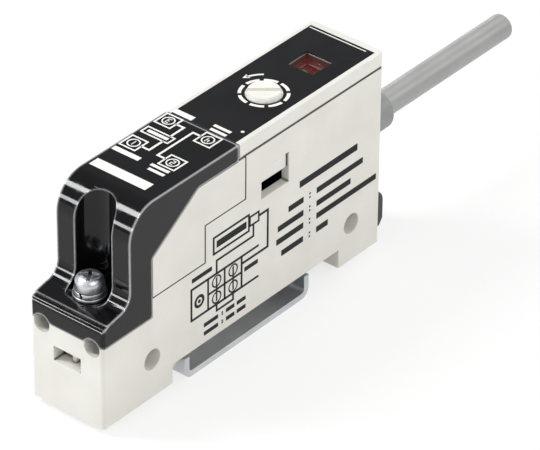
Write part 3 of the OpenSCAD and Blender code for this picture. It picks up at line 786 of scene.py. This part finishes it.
# Marks in millimetres from the front and the soles, or from the front and the near side
WIRING_DIAGRAM = (
    Outline(22.6, 16.7, 30.4, 19.7, 0.35), Bar(23.4, 17.65, 29.7, 18.75),
    Outline(30.3, 17.4, 32.5, 19.2, 0.32),
    Line(((32.5, 18.35), (34.3, 18.35), (34.3, 12.2), (28.9, 12.2)), 0.4),
    Line(((31.2, 17.5), (31.2, 15.55), (23.4, 15.55), (23.4, 13.4)), 0.36),
    Outline(17.9, 8.1, 28.9, 13.6, 0.38), Line(((28.7, 13.42), (32.2, 13.42)), 0.36),
    Line(((28.7, 8.28), (32.2, 8.28)), 0.36), Line(((21.6, 8.3), (21.6, 13.3)), 0.36),
    Line(((25.1, 8.3), (25.1, 13.3)), 0.36), Line(((21.8, 10.8), (28.7, 10.8)), 0.36),
    *(Arc(u, v, 1.0, 0.24) for u in (23.4, 26.9) for v in (9.45, 12.15)),
    *(Line(((u, 9.0), (u, 12.6)), 0.3) for u in (23.4, 26.9)),
    Arc(19.75, 10.75, 1.05, 0.45), Dot(19.75, 10.75, 0.3),
    Line(((23.4, 8.1), (23.4, 7.2), (26.9, 7.2), (26.9, 8.1)), 0.36),
)
SIDE_CAPTIONS = (
    Bar(18.2, 14.45, 22.4, 15.15), Bar(29.3, 10.55, 32.2, 11.25),
    *(Bar(u0, v, u1, v + 0.65) for v in (5.8, 4.4)
      for u0, u1 in ((20.7, 23.7), (25.4, 27.2), (27.7, 29.6))),
    *(Dot(24.6, v, 0.16) for v in (5.95, 6.3, 4.55, 4.9)),
)
CONNECTION_TABLE = (
    Bar(41.2, 18.35, 54.0, 19.45),
    *(mark for v, left, right_end in (
        (15.55, 38.8, 55.3), (13.35, 36.5, 52.6), (11.25, 36.2, 58.4), (8.95, 37.3, 47.6))
      for mark in (
          Bar(left, v, 42.1, v + 0.95), Bar(45.0, v, right_end, v + 0.95),
          Dot(43.5, v + 0.15, 0.17), Dot(43.5, v + 0.8, 0.17))),
)
COVER_PRINT = (
    Bar(11.6, 2.5, 13.4, 12.4),
    *(mark for number, u, v in ((1, 19.3, 11.2), (2, 19.0, 4.0), (3, 26.5, 11.2),
                                (4, 26.3, 4.0))
      for mark in (Outline(u - 1.5, v - 1.5, u + 1.5, v + 1.5, 0.26), Arc(u, v, 0.98, 0.2),
                   Digit(number, u, v))),
    Outline(22.0, 7.5, 23.8, 12.5, 0.26), Bar(22.6, 8.2, 23.2, 11.8),
    Line(((19.3, 9.7), (19.3, 8.45), (22.0, 8.45)), 0.34),
    Line(((23.8, 8.45), (26.5, 8.45), (26.5, 9.7)), 0.34),
    Line(((19.1, 5.5), (19.1, 6.75), (26.4, 6.75), (26.4, 5.5)), 0.34),
    Bar(16.3, 7.9, 17.2, 12.6), Bar(15.6, 2.8, 16.15, 5.6), Bar(16.6, 2.8, 17.15, 6.0),
)
LABEL_PRINT = (
    Bar(28.5, 8.9, 29.5, 12.4), Bar(28.4, 2.8, 28.95, 5.6), Bar(29.4, 2.8, 29.95, 5.8),
    # The thin white bar at 57.75 mm is a painted highlight along the label's rear edge
    Dot(30.9, 1.75, 0.26), Bar(57.75, 1.9, 57.93, 12.0),
    *(Arc(*ADJUSTER, 3.65, 0.5, start + 7.0, start + 38.0)
      for start in range(-180, 180, 45)),
    Arc(*ADJUSTER, 5.0, 0.36, 38.0, 68.0), Dot(41.95, 10.35, 0.62, 3, 70.0),
)


# Modelling


@dataclass(frozen=True)
class Softening:
    """How the edges of a moulded or pressed CAD piece are rounded.

    Attributes:
        node: The CAD piece.
        name: Name of the copy that replaces it.
        edge_mm: Radius of its edges.
        segments: Facets across an edge.
        side_mm: Radius of the edges round its two side faces, where it is larger.
    """

    node: str
    name: str
    edge_mm: float
    segments: int = 2
    side_mm: float = 0.0


class Modeller:
    """Makes and shapes pieces with Blender's own tools.

    Attributes:
        MERGE_M: Points closer than this become one.
        FLAT: Faces that meet under this angle become one, in degrees.
        SHARP: Edges over this angle are rounded, in degrees.
        SMOOTH: Edges over this angle stay sharp in the shading, in degrees.
        SIDE_ANGLE: Least angle of the edges round a side face, in degrees.
        SIDE_BAND_MM: How near a side face its own edges lie.
        SIDE_STEPS: Facets across the rounding of such an edge.
        CLAMP_OVER_MM: Radius over which that rounding gives way to narrow faces.
        INK_MM: How far a print stands above its face.
        SUNK_MM: How far it reaches into it.
    """

    MERGE_M = 1e-6
    FLAT = 1.0
    SHARP = 30.0
    SMOOTH = 38.0
    SIDE_ANGLE = 57.3
    SIDE_BAND_MM = 0.02
    SIDE_STEPS = 4
    CLAMP_OVER_MM = 0.3
    INK_MM = 0.02
    SUNK_MM = 0.01

    def __init__(self, shop: MaterialShop, frame: dict) -> None:
        """Keeps what every piece needs.

        Args:
            shop: Where finishes come from.
            frame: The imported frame.
        """
        self.shop = shop
        self.nodes: dict[str, bpy.types.Object] = frame["nodes"]
        self.bodies: dict[str, str] = {
            node: body
            for body, nodes in frame["record"]["behaviour"]["bodies"].items()
            for node in nodes
        }
        self.slots: dict[str, str] = {
            part["node"]: part["material_slot"] for part in frame["record"]["subparts"]
        }

    @staticmethod
    def pick(piece: bpy.types.Object) -> None:
        """Selects one piece and nothing else.

        Args:
            piece: The piece.
        """
        bpy.ops.object.select_all(action="DESELECT")
        piece.select_set(True)
        bpy.context.view_layer.objects.active = piece

    @contextmanager
    def editing(self, piece: bpy.types.Object) -> Iterator[bpy.types.Mesh]:
        """Holds a piece in edit mode with everything selected.

        Args:
            piece: The piece.

        Yields:
            Its mesh.
        """
        self.pick(piece)
        bpy.ops.object.mode_set(mode="EDIT")
        bpy.ops.mesh.select_all(action="SELECT")
        yield piece.data
        bpy.ops.object.mode_set(mode="OBJECT")

    @staticmethod
    def empty(name: str) -> bpy.types.Object:
        """Starts a piece with an empty mesh at the origin.

        Args:
            name: Name of the piece.

        Returns:
            The piece.
        """
        piece = bpy.data.objects.new(name, bpy.data.meshes.new(name))
        bpy.context.scene.collection.objects.link(piece)
        return piece

    def add_modifier(self, piece: bpy.types.Object, kind: str, **settings: object) -> None:
        """Adds a modifier and applies it.

        Args:
            piece: The piece.
            kind: Type of the modifier.
            **settings: Its properties.
        """
        self.pick(piece)
        modifier = piece.modifiers.new(kind.lower(), kind)
        for key, value in settings.items():
            setattr(modifier, key, value)
        bpy.ops.object.modifier_apply(modifier=modifier.name)

    def smooth(self, piece: bpy.types.Object, angle: float = SMOOTH) -> None:
        """Shades a piece smooth up to an angle and evens its normals.

        Args:
            piece: The piece.
            angle: Edges sharper than this stay sharp, in degrees.
        """
        self.pick(piece)
        bpy.ops.object.shade_smooth_by_angle(angle=math.radians(angle))
        self.add_modifier(piece, "WEIGHTED_NORMAL", keep_sharp=True, weight=90)

    def copy_of(self, node: str, name: str) -> bpy.types.Object:
        """Copies a CAD piece as it is.

        Args:
            node: The CAD piece.
            name: Name of the copy.

        Returns:
            The copy.
        """
        piece = bpy.data.objects.new(name, self.nodes[node].data.copy())
        piece.data.name = name
        bpy.context.scene.collection.objects.link(piece)
        return piece

    def squeezed(
        self, node: str, name: str, start: Vector, end: Vector
    ) -> bpy.types.Object:
        """Makes a smoothed copy of a CAD spring whose one end meets another body, and hides the
        CAD spring.

        Args:
            node: The CAD spring, which the copy replaces.
            name: Name of the copy.
            start: Where the spring meets that body. Not used.
            end: Where it meets its own body. Not used.

        Returns:
            The copy, shaped as the CAD spring and not attached to a body.
        """
        piece = self.copy_of(node, name)
        self.smooth(piece)
        self.dress(piece, self.slots[node])
        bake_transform(piece)
        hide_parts(node)
        return piece

    def softened(self, soft: Softening) -> bpy.types.Object:
        """Makes a copy of a CAD piece with its edges rounded.

        Args:
            soft: Which piece, and how it is rounded.

        Returns:
            The copy, riding on the body of its CAD piece.
        """
        piece = self.copy_of(soft.node, soft.name)
        with self.editing(piece):
            bpy.ops.mesh.remove_doubles(threshold=self.MERGE_M)
            bpy.ops.mesh.dissolve_limited(angle_limit=math.radians(self.FLAT))
            bpy.ops.mesh.normals_make_consistent(inside=False)
            if soft.side_mm:
                self._round_sides(piece, soft.side_mm)
        self.add_modifier(
            piece, "BEVEL", width=soft.edge_mm * MM, segments=soft.segments,
            limit_method="ANGLE", angle_limit=math.radians(self.SHARP),
            use_clamp_overlap=True, miter_outer="MITER_ARC",
        )
        self.smooth(piece)
        self.finish(piece, self.slots[soft.node], self.bodies[soft.node])
        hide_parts(soft.node)
        return piece

    def _round_sides(self, piece: bpy.types.Object, side_mm: float) -> None:
        """Rounds the edges round the two side faces of a piece in edit mode.

        Args:
            piece: The piece.
            side_mm: Radius of these edges.
        """
        # Edge mode keeps a flat edge between two rounded ones out of the selection
        bpy.ops.mesh.select_mode(type="EDGE")
        bpy.ops.mesh.select_all(action="DESELECT")
        mesh = bmesh.from_edit_mesh(piece.data)
        side = max(abs(vert.co.y) for vert in mesh.verts) - self.SIDE_BAND_MM * MM
        steep = math.radians(self.SIDE_ANGLE)
        for edge in mesh.edges:
            on_side = all(abs(vert.co.y) > side for vert in edge.verts)
            if on_side and edge.is_convex and edge.calc_face_angle(0) > steep:
                edge.select_set(True)
        bmesh.update_edit_mesh(piece.data)
        bpy.ops.mesh.bevel(
            offset=side_mm * MM, segments=self.SIDE_STEPS,
            clamp_overlap=side_mm > self.CLAMP_OVER_MM,
        )
        bpy.ops.mesh.select_mode(type="VERT")

    def finish(self, piece: bpy.types.Object, slot: str, body: str,
               material: str | None = None) -> None:
        """Gives a piece its finish and the body that it rides.

        Args:
            piece: The piece.
            slot: Material slot of the record.
            body: CAD body.
            material: Finish, where it isn't the slot's own.
        """
        self.dress(piece, slot, material)
        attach(piece, body)

    def dress(self, piece: bpy.types.Object, slot: str, material: str | None = None) -> None:
        """Gives a piece the material of its finish.

        Args:
            piece: The piece.
            slot: Material slot of the record.
            material: Finish, where it isn't the slot's own.
        """
        piece.data.materials.clear()
        piece.data.materials.append(self.shop.get(material or slot))

    def dress_nodes(self) -> None:
        """Gives every CAD piece the finish of its slot, for those that nothing replaces."""
        for node, slot in self.slots.items():
            materials = self.nodes[node].data.materials
            materials.clear()
            materials.append(self.shop.get(slot))

    def turned(
        self, name: str, profile: Sequence[Point], at: Vector, steps: int = 48
    ) -> bpy.types.Object:
        """Turns a profile round an axis along x, as on a lathe.

        Args:
            name: Name of the piece.
            profile: Distance from the axis and height along it for each point, in mm.
            at: Place of the profile's origin.
            steps: Facets of the circle.

        Returns:
            The piece.
        """
        piece = self.empty(name)
        self.pick(piece)
        bpy.ops.object.mode_set(mode="EDIT")
        mesh = bmesh.from_edit_mesh(piece.data)
        rim = [mesh.verts.new((r * MM, 0, h * MM)) for r, h in profile]
        for first, second in zip(rim, rim[1:]):
            mesh.edges.new((first, second))
        for vert in rim:
            vert.select = True
        mesh.select_flush(True)
        bmesh.update_edit_mesh(piece.data)
        bpy.ops.mesh.spin(
            steps=steps, angle=math.tau, center=(0, 0, 0), axis=(0, 0, 1), use_auto_merge=True
        )
        bpy.ops.mesh.select_all(action="SELECT")
        bpy.ops.mesh.remove_doubles(threshold=2 * self.MERGE_M)
        bpy.ops.mesh.normals_make_consistent(inside=False)
        bpy.ops.object.mode_set(mode="OBJECT")
        to_x = Matrix.Rotation(math.radians(90), 4, "Y")
        piece.data.transform(Matrix.Translation(at) @ to_x)
        return piece

    def printed(self, ink: Print) -> bpy.types.Object:
        """Prints marks as one piece.

        Args:
            ink: The marks, and where they go.

        Returns:
            The piece.
        """
        piece = self.empty(ink.name)
        with self.editing(piece):
            for mark in ink.marks:
                mark.draw()
            bpy.ops.mesh.select_all(action="SELECT")
            bpy.ops.mesh.normals_make_consistent(inside=False)
            bpy.ops.mesh.extrude_region_move(
                TRANSFORM_OT_translate={"value": (0, 0, self.INK_MM + self.SUNK_MM)}
            )
            bpy.ops.mesh.select_all(action="SELECT")
            bpy.ops.mesh.normals_make_consistent(inside=False)
        sink = Matrix.Translation((0, 0, -self.SUNK_MM))
        piece.data.transform(ink.panel.matrix() @ sink)
        self.finish(piece, ink.slot, ink.body, ink.ink)
        return piece


# Sub-assemblies


@dataclass(frozen=True)
class Cable:
    """Cable with its cut end, where its four wires show.

    Attributes:
        x_points: Where the points lie that the cable follows, in metres.
        height: Height of the cable, in metres.
        diameter: Thickness of the cable, in metres.
        exit_x: Where it leaves the gland, in metres. Not used.
        jacket_mm: Thickness of the jacket.
        recess_mm: How deep the wires lie in the cut end.
        lip: Distances from the outside and from the end along the rounded cut, in mm.
        inner_lip_mm: Radius of the cut's inner edge.
        chamfer_mm: Chamfer of the hidden end.
        wire_ring_mm: Distance of the wires from the middle of the cable.
        wire: Profile of a wire end, with its insulation and its copper.
        copper_from_mm: Where the copper starts on that profile.
        wire_steps: Facets round a wire.
        jacket_smooth: Edges of the jacket over this angle stay sharp, in degrees.
        wire_smooth: The same for a wire.
    """

    x_points: tuple[float, ...] = (0.0267, 0.0343, 0.0423, 0.0503, 0.0583, 0.0663)
    height: float = 0.0175
    diameter: float = 0.004
    exit_x: float = 0.0368
    jacket_mm: float = 0.55
    recess_mm: float = 0.35
    lip: tuple[Point, ...] = ((0.0, 0.3), (0.08, 0.1), (0.26, 0.0))
    inner_lip_mm: float = 0.08
    chamfer_mm: float = 0.2
    wire_ring_mm: float = 0.68
    wire: tuple[Point, ...] = (
        (0, -0.2), (0.46, -0.2), (0.46, 0.24), (0.4, 0.3), (0.26, 0.3), (0.26, 0.36),
        (0.2, 0.4), (0, 0.4),
    )
    copper_from_mm: float = 0.305
    wire_steps: int = 24
    jacket_smooth: float = 50.0
    wire_smooth: float = 40.0

    def path(self) -> list[Place]:
        """Returns the points that the cable follows."""
        return [(x, 0.0, self.height) for x in self.x_points]

    def build(self, maker: Modeller) -> Iterator[bpy.types.Object]:
        """Args:
            maker: Maker of the pieces.

        Yields:
            Each piece.
        """
        r = self.diameter / MM / 2
        start = self.x_points[0] / MM
        sections = [x / MM - start for x in self.x_points]
        end = sections[-1]
        floor = end - self.recess_mm
        bore = r - self.jacket_mm
        profile = [
            (0, 0), (r - self.chamfer_mm, 0), (r, self.chamfer_mm),
            *((r, x) for x in sections[1:-1]),
            *((r - out, end - back) for out, back in self.lip),
            (bore + self.inner_lip_mm, end), (bore, end - self.inner_lip_mm),
            (bore, floor), (0, floor),
        ]
        at = Vector((start * MM, 0, self.height))
        jacket = maker.turned("cable_jacket_tube", profile, at)
        maker.smooth(jacket, self.jacket_smooth)
        maker.finish(jacket, "cable_jacket", "base")
        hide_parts("cable")
        face = at + Vector((floor * MM, 0, 0))
        ends = [self._wire_end(maker, i, colour, face)
                for i, colour in enumerate(("red", "white", "yellow", "black"))]
        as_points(self.path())
        yield from (jacket, *ends)

    def _wire_end(self, maker: Modeller, index: int, colour: str, face: Vector
                  ) -> bpy.types.Object:
        """Makes the end of one wire, in its quarter of the cut face.

        Args:
            maker: Maker of the pieces.
            index: Which quarter.
            colour: Colour of the wire's insulation.
            face: Middle of the cut face.

        Returns:
            The wire end.
        """
        angle = math.radians(45 + 90 * index)
        offset = Vector((0, math.cos(angle), math.sin(angle))) * self.wire_ring_mm * MM
        piece = maker.turned(
            f"wire_end_{colour}", self.wire, face + offset, self.wire_steps
        )
        maker.smooth(piece, self.wire_smooth)
        maker.finish(piece, f"wire_{colour}", "base")
        piece.data.materials.append(maker.shop.get("copper"))
        copper = (face + offset).x + self.copper_from_mm * MM
        for polygon in piece.data.polygons:
            if polygon.center.x > copper:
                polygon.material_index = 1
        return piece


@dataclass(frozen=True)
class SubAssembly:
    """Pieces that are put together before they go into the amplifier.

    Attributes:
        pieces: How the edges of each CAD piece are rounded.
        prints: What is printed on them.
    """

    pieces: tuple[Softening, ...] = ()
    prints: tuple[Print, ...] = ()

    def build(self, maker: Modeller) -> Iterator[bpy.types.Object]:
        """Makes the pieces and what is printed on them.

        Args:
            maker: Maker of the pieces.

        Yields:
            Each piece.
        """
        for soft in self.pieces:
            yield maker.softened(soft)
        for ink in self.prints:
            yield maker.printed(ink)


@dataclass(frozen=True)
class Housing(SubAssembly):
    """Case and cable gland, with the print on the near side and painted shadow lines along the
    seams.

    Attributes:
        pieces: How the edges of each CAD piece are rounded.
        prints: What is printed on them.
        seam: Seam between the case and the terminal block, where a fine dark line paints its
            shadow.
        seam_shadow_mm: Width of that painted shadow line.
    """

    pieces: tuple[Softening, ...] = (
        Softening("case", "case_shell", 0.16, 2, 0.15),
        Softening("cable_gland", "strain_relief", 0.2, 3),
    )
    prints: tuple[Print, ...] = (Print(
        "side_print", NEAR_SIDE, WIRING_DIAGRAM + SIDE_CAPTIONS + CONNECTION_TABLE,
        "case_plastic", "base", "ink_dark",
    ),)
    seam: tuple[Point, ...] = (
        (10.2, 16.4), (21.0, 16.4), (21.0, 22.5), (29.5, 22.5), (29.5, 29.25)
    )
    seam_shadow_mm: float = 0.12

    def build(self, maker: Modeller) -> Iterator[bpy.types.Object]:
        """Makes the pieces, what is printed on them, and the painted shadow lines along the
        seams.

        Args:
            maker: Maker of the pieces.

        Yields:
            Each piece.
        """
        yield from super().build(maker)
        # A thin dark strip on each side paints the shadow in the seam's gap
        for panel, name, sign in ((NEAR_SIDE, "near_seam_shadow", 1), (FAR_SIDE, "far_seam_shadow", -1)):
            line = Line(tuple((sign * x, z) for x, z in self.seam), self.seam_shadow_mm)
            yield maker.printed(
                Print(name, panel, (line,), "case_plastic", "base", "ink_dark")
            )


@dataclass(frozen=True)
class Terminals(SubAssembly):
    """Stepped block with its four screws and their pressure plates.

    Attributes:
        pieces: How the edges of each CAD piece are rounded.
    """

    pieces: tuple[Softening, ...] = (
        Softening("terminal_block", "terminal_carrier", 0.12, 2, 0.15),
        *(Softening(f"terminal_screw_{i}", f"clamp_screw_{i}", 0.07) for i in range(1, 5)),
        *(Softening(f"terminal_clamp_{i}", f"pressure_plate_{i}", 0.07) for i in range(1, 5)),
    )


@dataclass(frozen=True)
class TerminalCover(SubAssembly):
    """Smoked cover with its captive screw, the two washers and its print.

    Attributes:
        pieces: How the edges of each CAD piece are rounded.
        prints: What is printed on them.
    """

    pieces: tuple[Softening, ...] = (
        Softening("terminal_cover", "smoked_hood", 0.18, 3, 0.6),
        Softening("cover_screw", "captive_screw", 0.09),
        Softening("spring_washer", "split_washer", 0.06),
        Softening("flat_washer", "plain_washer", 0.06),
    )
    prints: tuple[Print, ...] = (
        Print("cover_print", TOP, COVER_PRINT, "smoked_cover", "cover", "ink_white"),
    )


@dataclass(frozen=True)
class TopPanel(SubAssembly):
    """Lid with its label, the lamp window and the adjuster.

    Attributes:
        pieces: How the edges of each CAD piece are rounded.
        prints: What is printed on them.
        knob: How the adjuster's edges are rounded.
        knob_turn: Turn of its slot in the drawing, in degrees.
    """

    pieces: tuple[Softening, ...] = (
        Softening("top_lid", "lid_moulding", 0.14, 2, 0.2),
        Softening("led_window", "indicator_lens", 0.08),
        Softening("top_label", "label_sheet", 0.04, 1),
    )
    prints: tuple[Print, ...] = (
        Print("label_print", TOP, LABEL_PRINT, "label_film", "base", "ink_white"),
    )
    knob: Softening = Softening("adjuster", "adjuster_knob", 0.12)
    knob_turn: float = -49.7

    def build(self, maker: Modeller) -> Iterator[bpy.types.Object]:
        """Makes the pieces, and turns the adjuster as the drawing shows it.

        Args:
            maker: Maker of the pieces.

        Yields:
            Each piece.
        """
        yield from super().build(maker)
        knob = maker.softened(self.knob)
        axis = in_case(*ADJUSTER, 0)
        turn = Matrix.Rotation(math.radians(self.knob_turn), 4, "Z")
        knob.data.transform(Matrix.Translation(axis) @ turn @ Matrix.Translation(-axis))
        yield knob


@dataclass(frozen=True)
class RailClip(SubAssembly):
    """Bracket, and the sprung lock with which the rear foot holds it.

    Attributes:
        pieces: How the edges of each CAD piece are rounded.
        spring_start: Where the spring meets the lock, in case millimetres.
        spring_end: Where it meets the case.
    """

    pieces: tuple[Softening, ...] = (
        Softening("rail_lock", "lock_slide", 0.22, 3),
        Softening("mounting_bracket", "clip_bracket", 0.1),
    )
    spring_start: Place = (52.2, 6.5, 1.6)
    spring_end: Place = (56.6, 6.5, 1.6)

    def build(self, maker: Modeller) -> Iterator[bpy.types.Object]:
        """Makes the pieces, and the spring that the lock squeezes.

        Args:
            maker: Maker of the pieces.

        Yields:
            Each piece.
        """
        yield from super().build(maker)
        yield maker.squeezed(
            "lock_spring", "lock_coil",
            in_case(*self.spring_start), in_case(*self.spring_end),
        )


# Stage


@dataclass(frozen=True)
class View:
    """Camera of the drawing, in degrees and millimetres of the frame.

    Attributes:
        azimuth: Turn of the camera's heading.
        elevation: How far it looks down.
        centre: Point that the distance is measured to.
        distance: Distance of the camera.
        right: Shift of the aim to the right.
        up: Shift of the aim upwards.
        lens: Focal length on a 36 mm sensor.
    """

    azimuth: float = -49.68
    elevation: float = 34.13
    centre: Place = (-0.45, 0.0, 17.125)
    distance: float = 577.8
    right: float = 8.22
    up: float = -0.63
    lens: float = 279.2


@dataclass(frozen=True)
class SoftBox:
    """Rectangular area light.

    Attributes:
        name: Name of the light.
        place: Where it stands, in metres.
        width: Its level side.
        height: Its upright side.
        power: Its power in watts.
        tint: Its colour.
    """

    name: str
    place: Place
    width: float
    height: float
    power: float
    tint: str = "#ffffff"


SOFT_BOXES = (
    SoftBox("key_light", (-0.22, -0.6, 0.56), 0.36, 0.36, 2.1, "#fffbf5"),
    SoftBox("front_light", (-0.62, -0.02, 0.34), 0.26, 0.26, 0.35, "#f6f9ff"),
    SoftBox("crest_light", (-0.215, 0.295, 0.41), 0.09, 0.25, 1.8),
    SoftBox("crest_strip", (-0.48, 0.32, 0.16), 0.09, 0.09, 0.5),
    SoftBox("rim_light", (0.44, -0.38, 0.36), 0.24, 0.3, 1.2),
    SoftBox("far_strip", (0.47, 0.58, 0.14), 0.3, 0.16, 0.5),
    SoftBox("back_light", (0.75, 0.12, 0.5), 0.34, 0.34, 1.6),
)


@dataclass(frozen=True)
class Stage:
    """Camera, lights, world and floor.

    Attributes:
        view: Camera of the drawing.
        lights: The lights.
        sensor_mm: Width of the camera's sensor.
        clip_m: Nearest and farthest distance that the camera sees.
        lit_point: Point that every light faces, in metres.
        sky: Colour of the surroundings.
        sky_strength: Their strength.
        floor_m: Side of the floor.
        floor_tones: Its two colours.
        floor_patch_mm: Size of the patches of these colours.
        floor_roughness: Its roughness.
        floor_specular: Share of the plain reflection that stays on it.
        glow: How far the floor shines by itself where it is seen, straight or reflected.
    """

    view: View = View()
    lights: tuple[SoftBox, ...] = SOFT_BOXES
    sensor_mm: float = 36.0
    clip_m: Point = (0.01, 20.0)
    lit_point: Place = (0, 0, 0.015)
    sky: str = "#f2f4f7"
    sky_strength: float = 0.42
    floor_m: float = 6.0
    floor_tones: tuple[str, str] = ("#f4f4f3", "#f1f1f0")
    floor_patch_mm: float = 40.0
    floor_roughness: float = 0.9
    floor_specular: float = 0.1
    glow: float = 0.72

    def build(self) -> None:
        """Builds the whole stage."""
        self._camera()
        for box in self.lights:
            self._light(box)
        self._world()
        self._floor()
        bpy.context.scene.view_settings.view_transform = "Standard"

    def _camera(self) -> None:
        """Sets up the camera of the drawing."""
        view = self.view
        az, el = math.radians(view.azimuth), math.radians(view.elevation)
        forward = Vector((
            -math.sin(az) * math.cos(el), math.cos(az) * math.cos(el), -math.sin(el)
        ))
        right = Vector((math.cos(az), math.sin(az), 0))
        up = right.cross(forward)
        centre = Vector(view.centre)
        place = centre - forward * view.distance
        aim = centre + right * view.right + up * view.up
        forward = (aim - place).normalized()
        right = (right - forward * right.dot(forward)).normalized()
        data = bpy.data.cameras.new("drawing_camera")
        data.lens, data.sensor_width = view.lens, self.sensor_mm
        data.clip_start, data.clip_end = self.clip_m
        camera = bpy.data.objects.new("drawing_camera", data)
        turn = Matrix((right, right.cross(forward), -forward)).transposed().to_4x4()
        camera.matrix_world = Matrix.Translation(place * MM) @ turn
        bpy.context.scene.collection.objects.link(camera)
        bpy.context.scene.camera = camera

    def _light(self, box: SoftBox) -> None:
        """Sets up one light.

        Args:
            box: The light.
        """
        data = bpy.data.lights.new(box.name, "AREA")
        data.shape, data.size, data.size_y = "RECTANGLE", box.width, box.height
        data.energy, data.color = box.power, linear(box.tint)[:3]
        light = bpy.data.objects.new(box.name, data)
        light.location = box.place
        heading = Vector(self.lit_point) - light.location
        light.rotation_euler = heading.to_track_quat("-Z", "Y").to_euler()
        bpy.context.scene.collection.objects.link(light)

    def _world(self) -> None:
        """Sets up the plain surroundings."""
        world = bpy.data.worlds.new("studio")
        world.use_nodes = True
        shader = world.node_tree.nodes["Background"].inputs
        shader["Color"].default_value = linear(self.sky)
        shader["Strength"].default_value = self.sky_strength
        bpy.context.scene.world = world

    def _floor(self) -> None:
        """Sets up the floor, which keeps its shadow and is white wherever it is seen."""
        bpy.ops.mesh.primitive_plane_add(size=self.floor_m, location=(0, 0, 0))
        floor = bpy.context.object
        floor.name = "floor"
        graph = Graph("floor_paper")
        shader = graph.shader.inputs
        patches = graph.structure(self.floor_patch_mm)
        patches = graph.add("ShaderNodeMapRange", (patches, *graph.PATCHES))
        first, second = (linear(tone) for tone in self.floor_tones)
        tone = graph.add("ShaderNodeMix", {
            SHARE: patches, FIRST: first, SECOND: second,
        }, MIXED, data_type="RGBA")
        graph.links.new(tone, shader["Base Color"])
        shader["Roughness"].default_value = self.floor_roughness
        shader["Specular IOR Level"].default_value = self.floor_specular
        glow = graph.add("ShaderNodeEmission", {"Color": (1, 1, 1, 1), "Strength": 1.0})
        rays = graph.add("ShaderNodeLightPath").node.outputs
        seen = rays["Is Camera Ray"]
        for kind in ("Is Glossy Ray", "Is Transmission Ray"):
            seen = graph.add("ShaderNodeMath", (seen, rays[kind]), operation="MAXIMUM")
        share = graph.add("ShaderNodeMapRange", (seen, 0.0, 1.0, 0.0, self.glow))
        mixed = graph.add("ShaderNodeMixShader", (share, graph.shader.outputs[0], glow))
        graph.links.new(mixed, graph.nodes["Material Output"].inputs["Surface"])
        floor.data.materials.append(graph.material)


def main() -> None:
    """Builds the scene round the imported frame."""
    logging.basicConfig(level=logging.INFO)
    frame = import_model()
    Stage().build()
    maker = Modeller(MaterialShop(), frame)
    for group in (Cable(), Housing(), Terminals(), TerminalCover(), TopPanel(), RailClip()):
        for piece in group.build(maker):
            LOG.info("%s: %d faces", piece.name, len(piece.data.polygons))
    maker.dress_nodes()


if __name__ == "__main__":
    main()
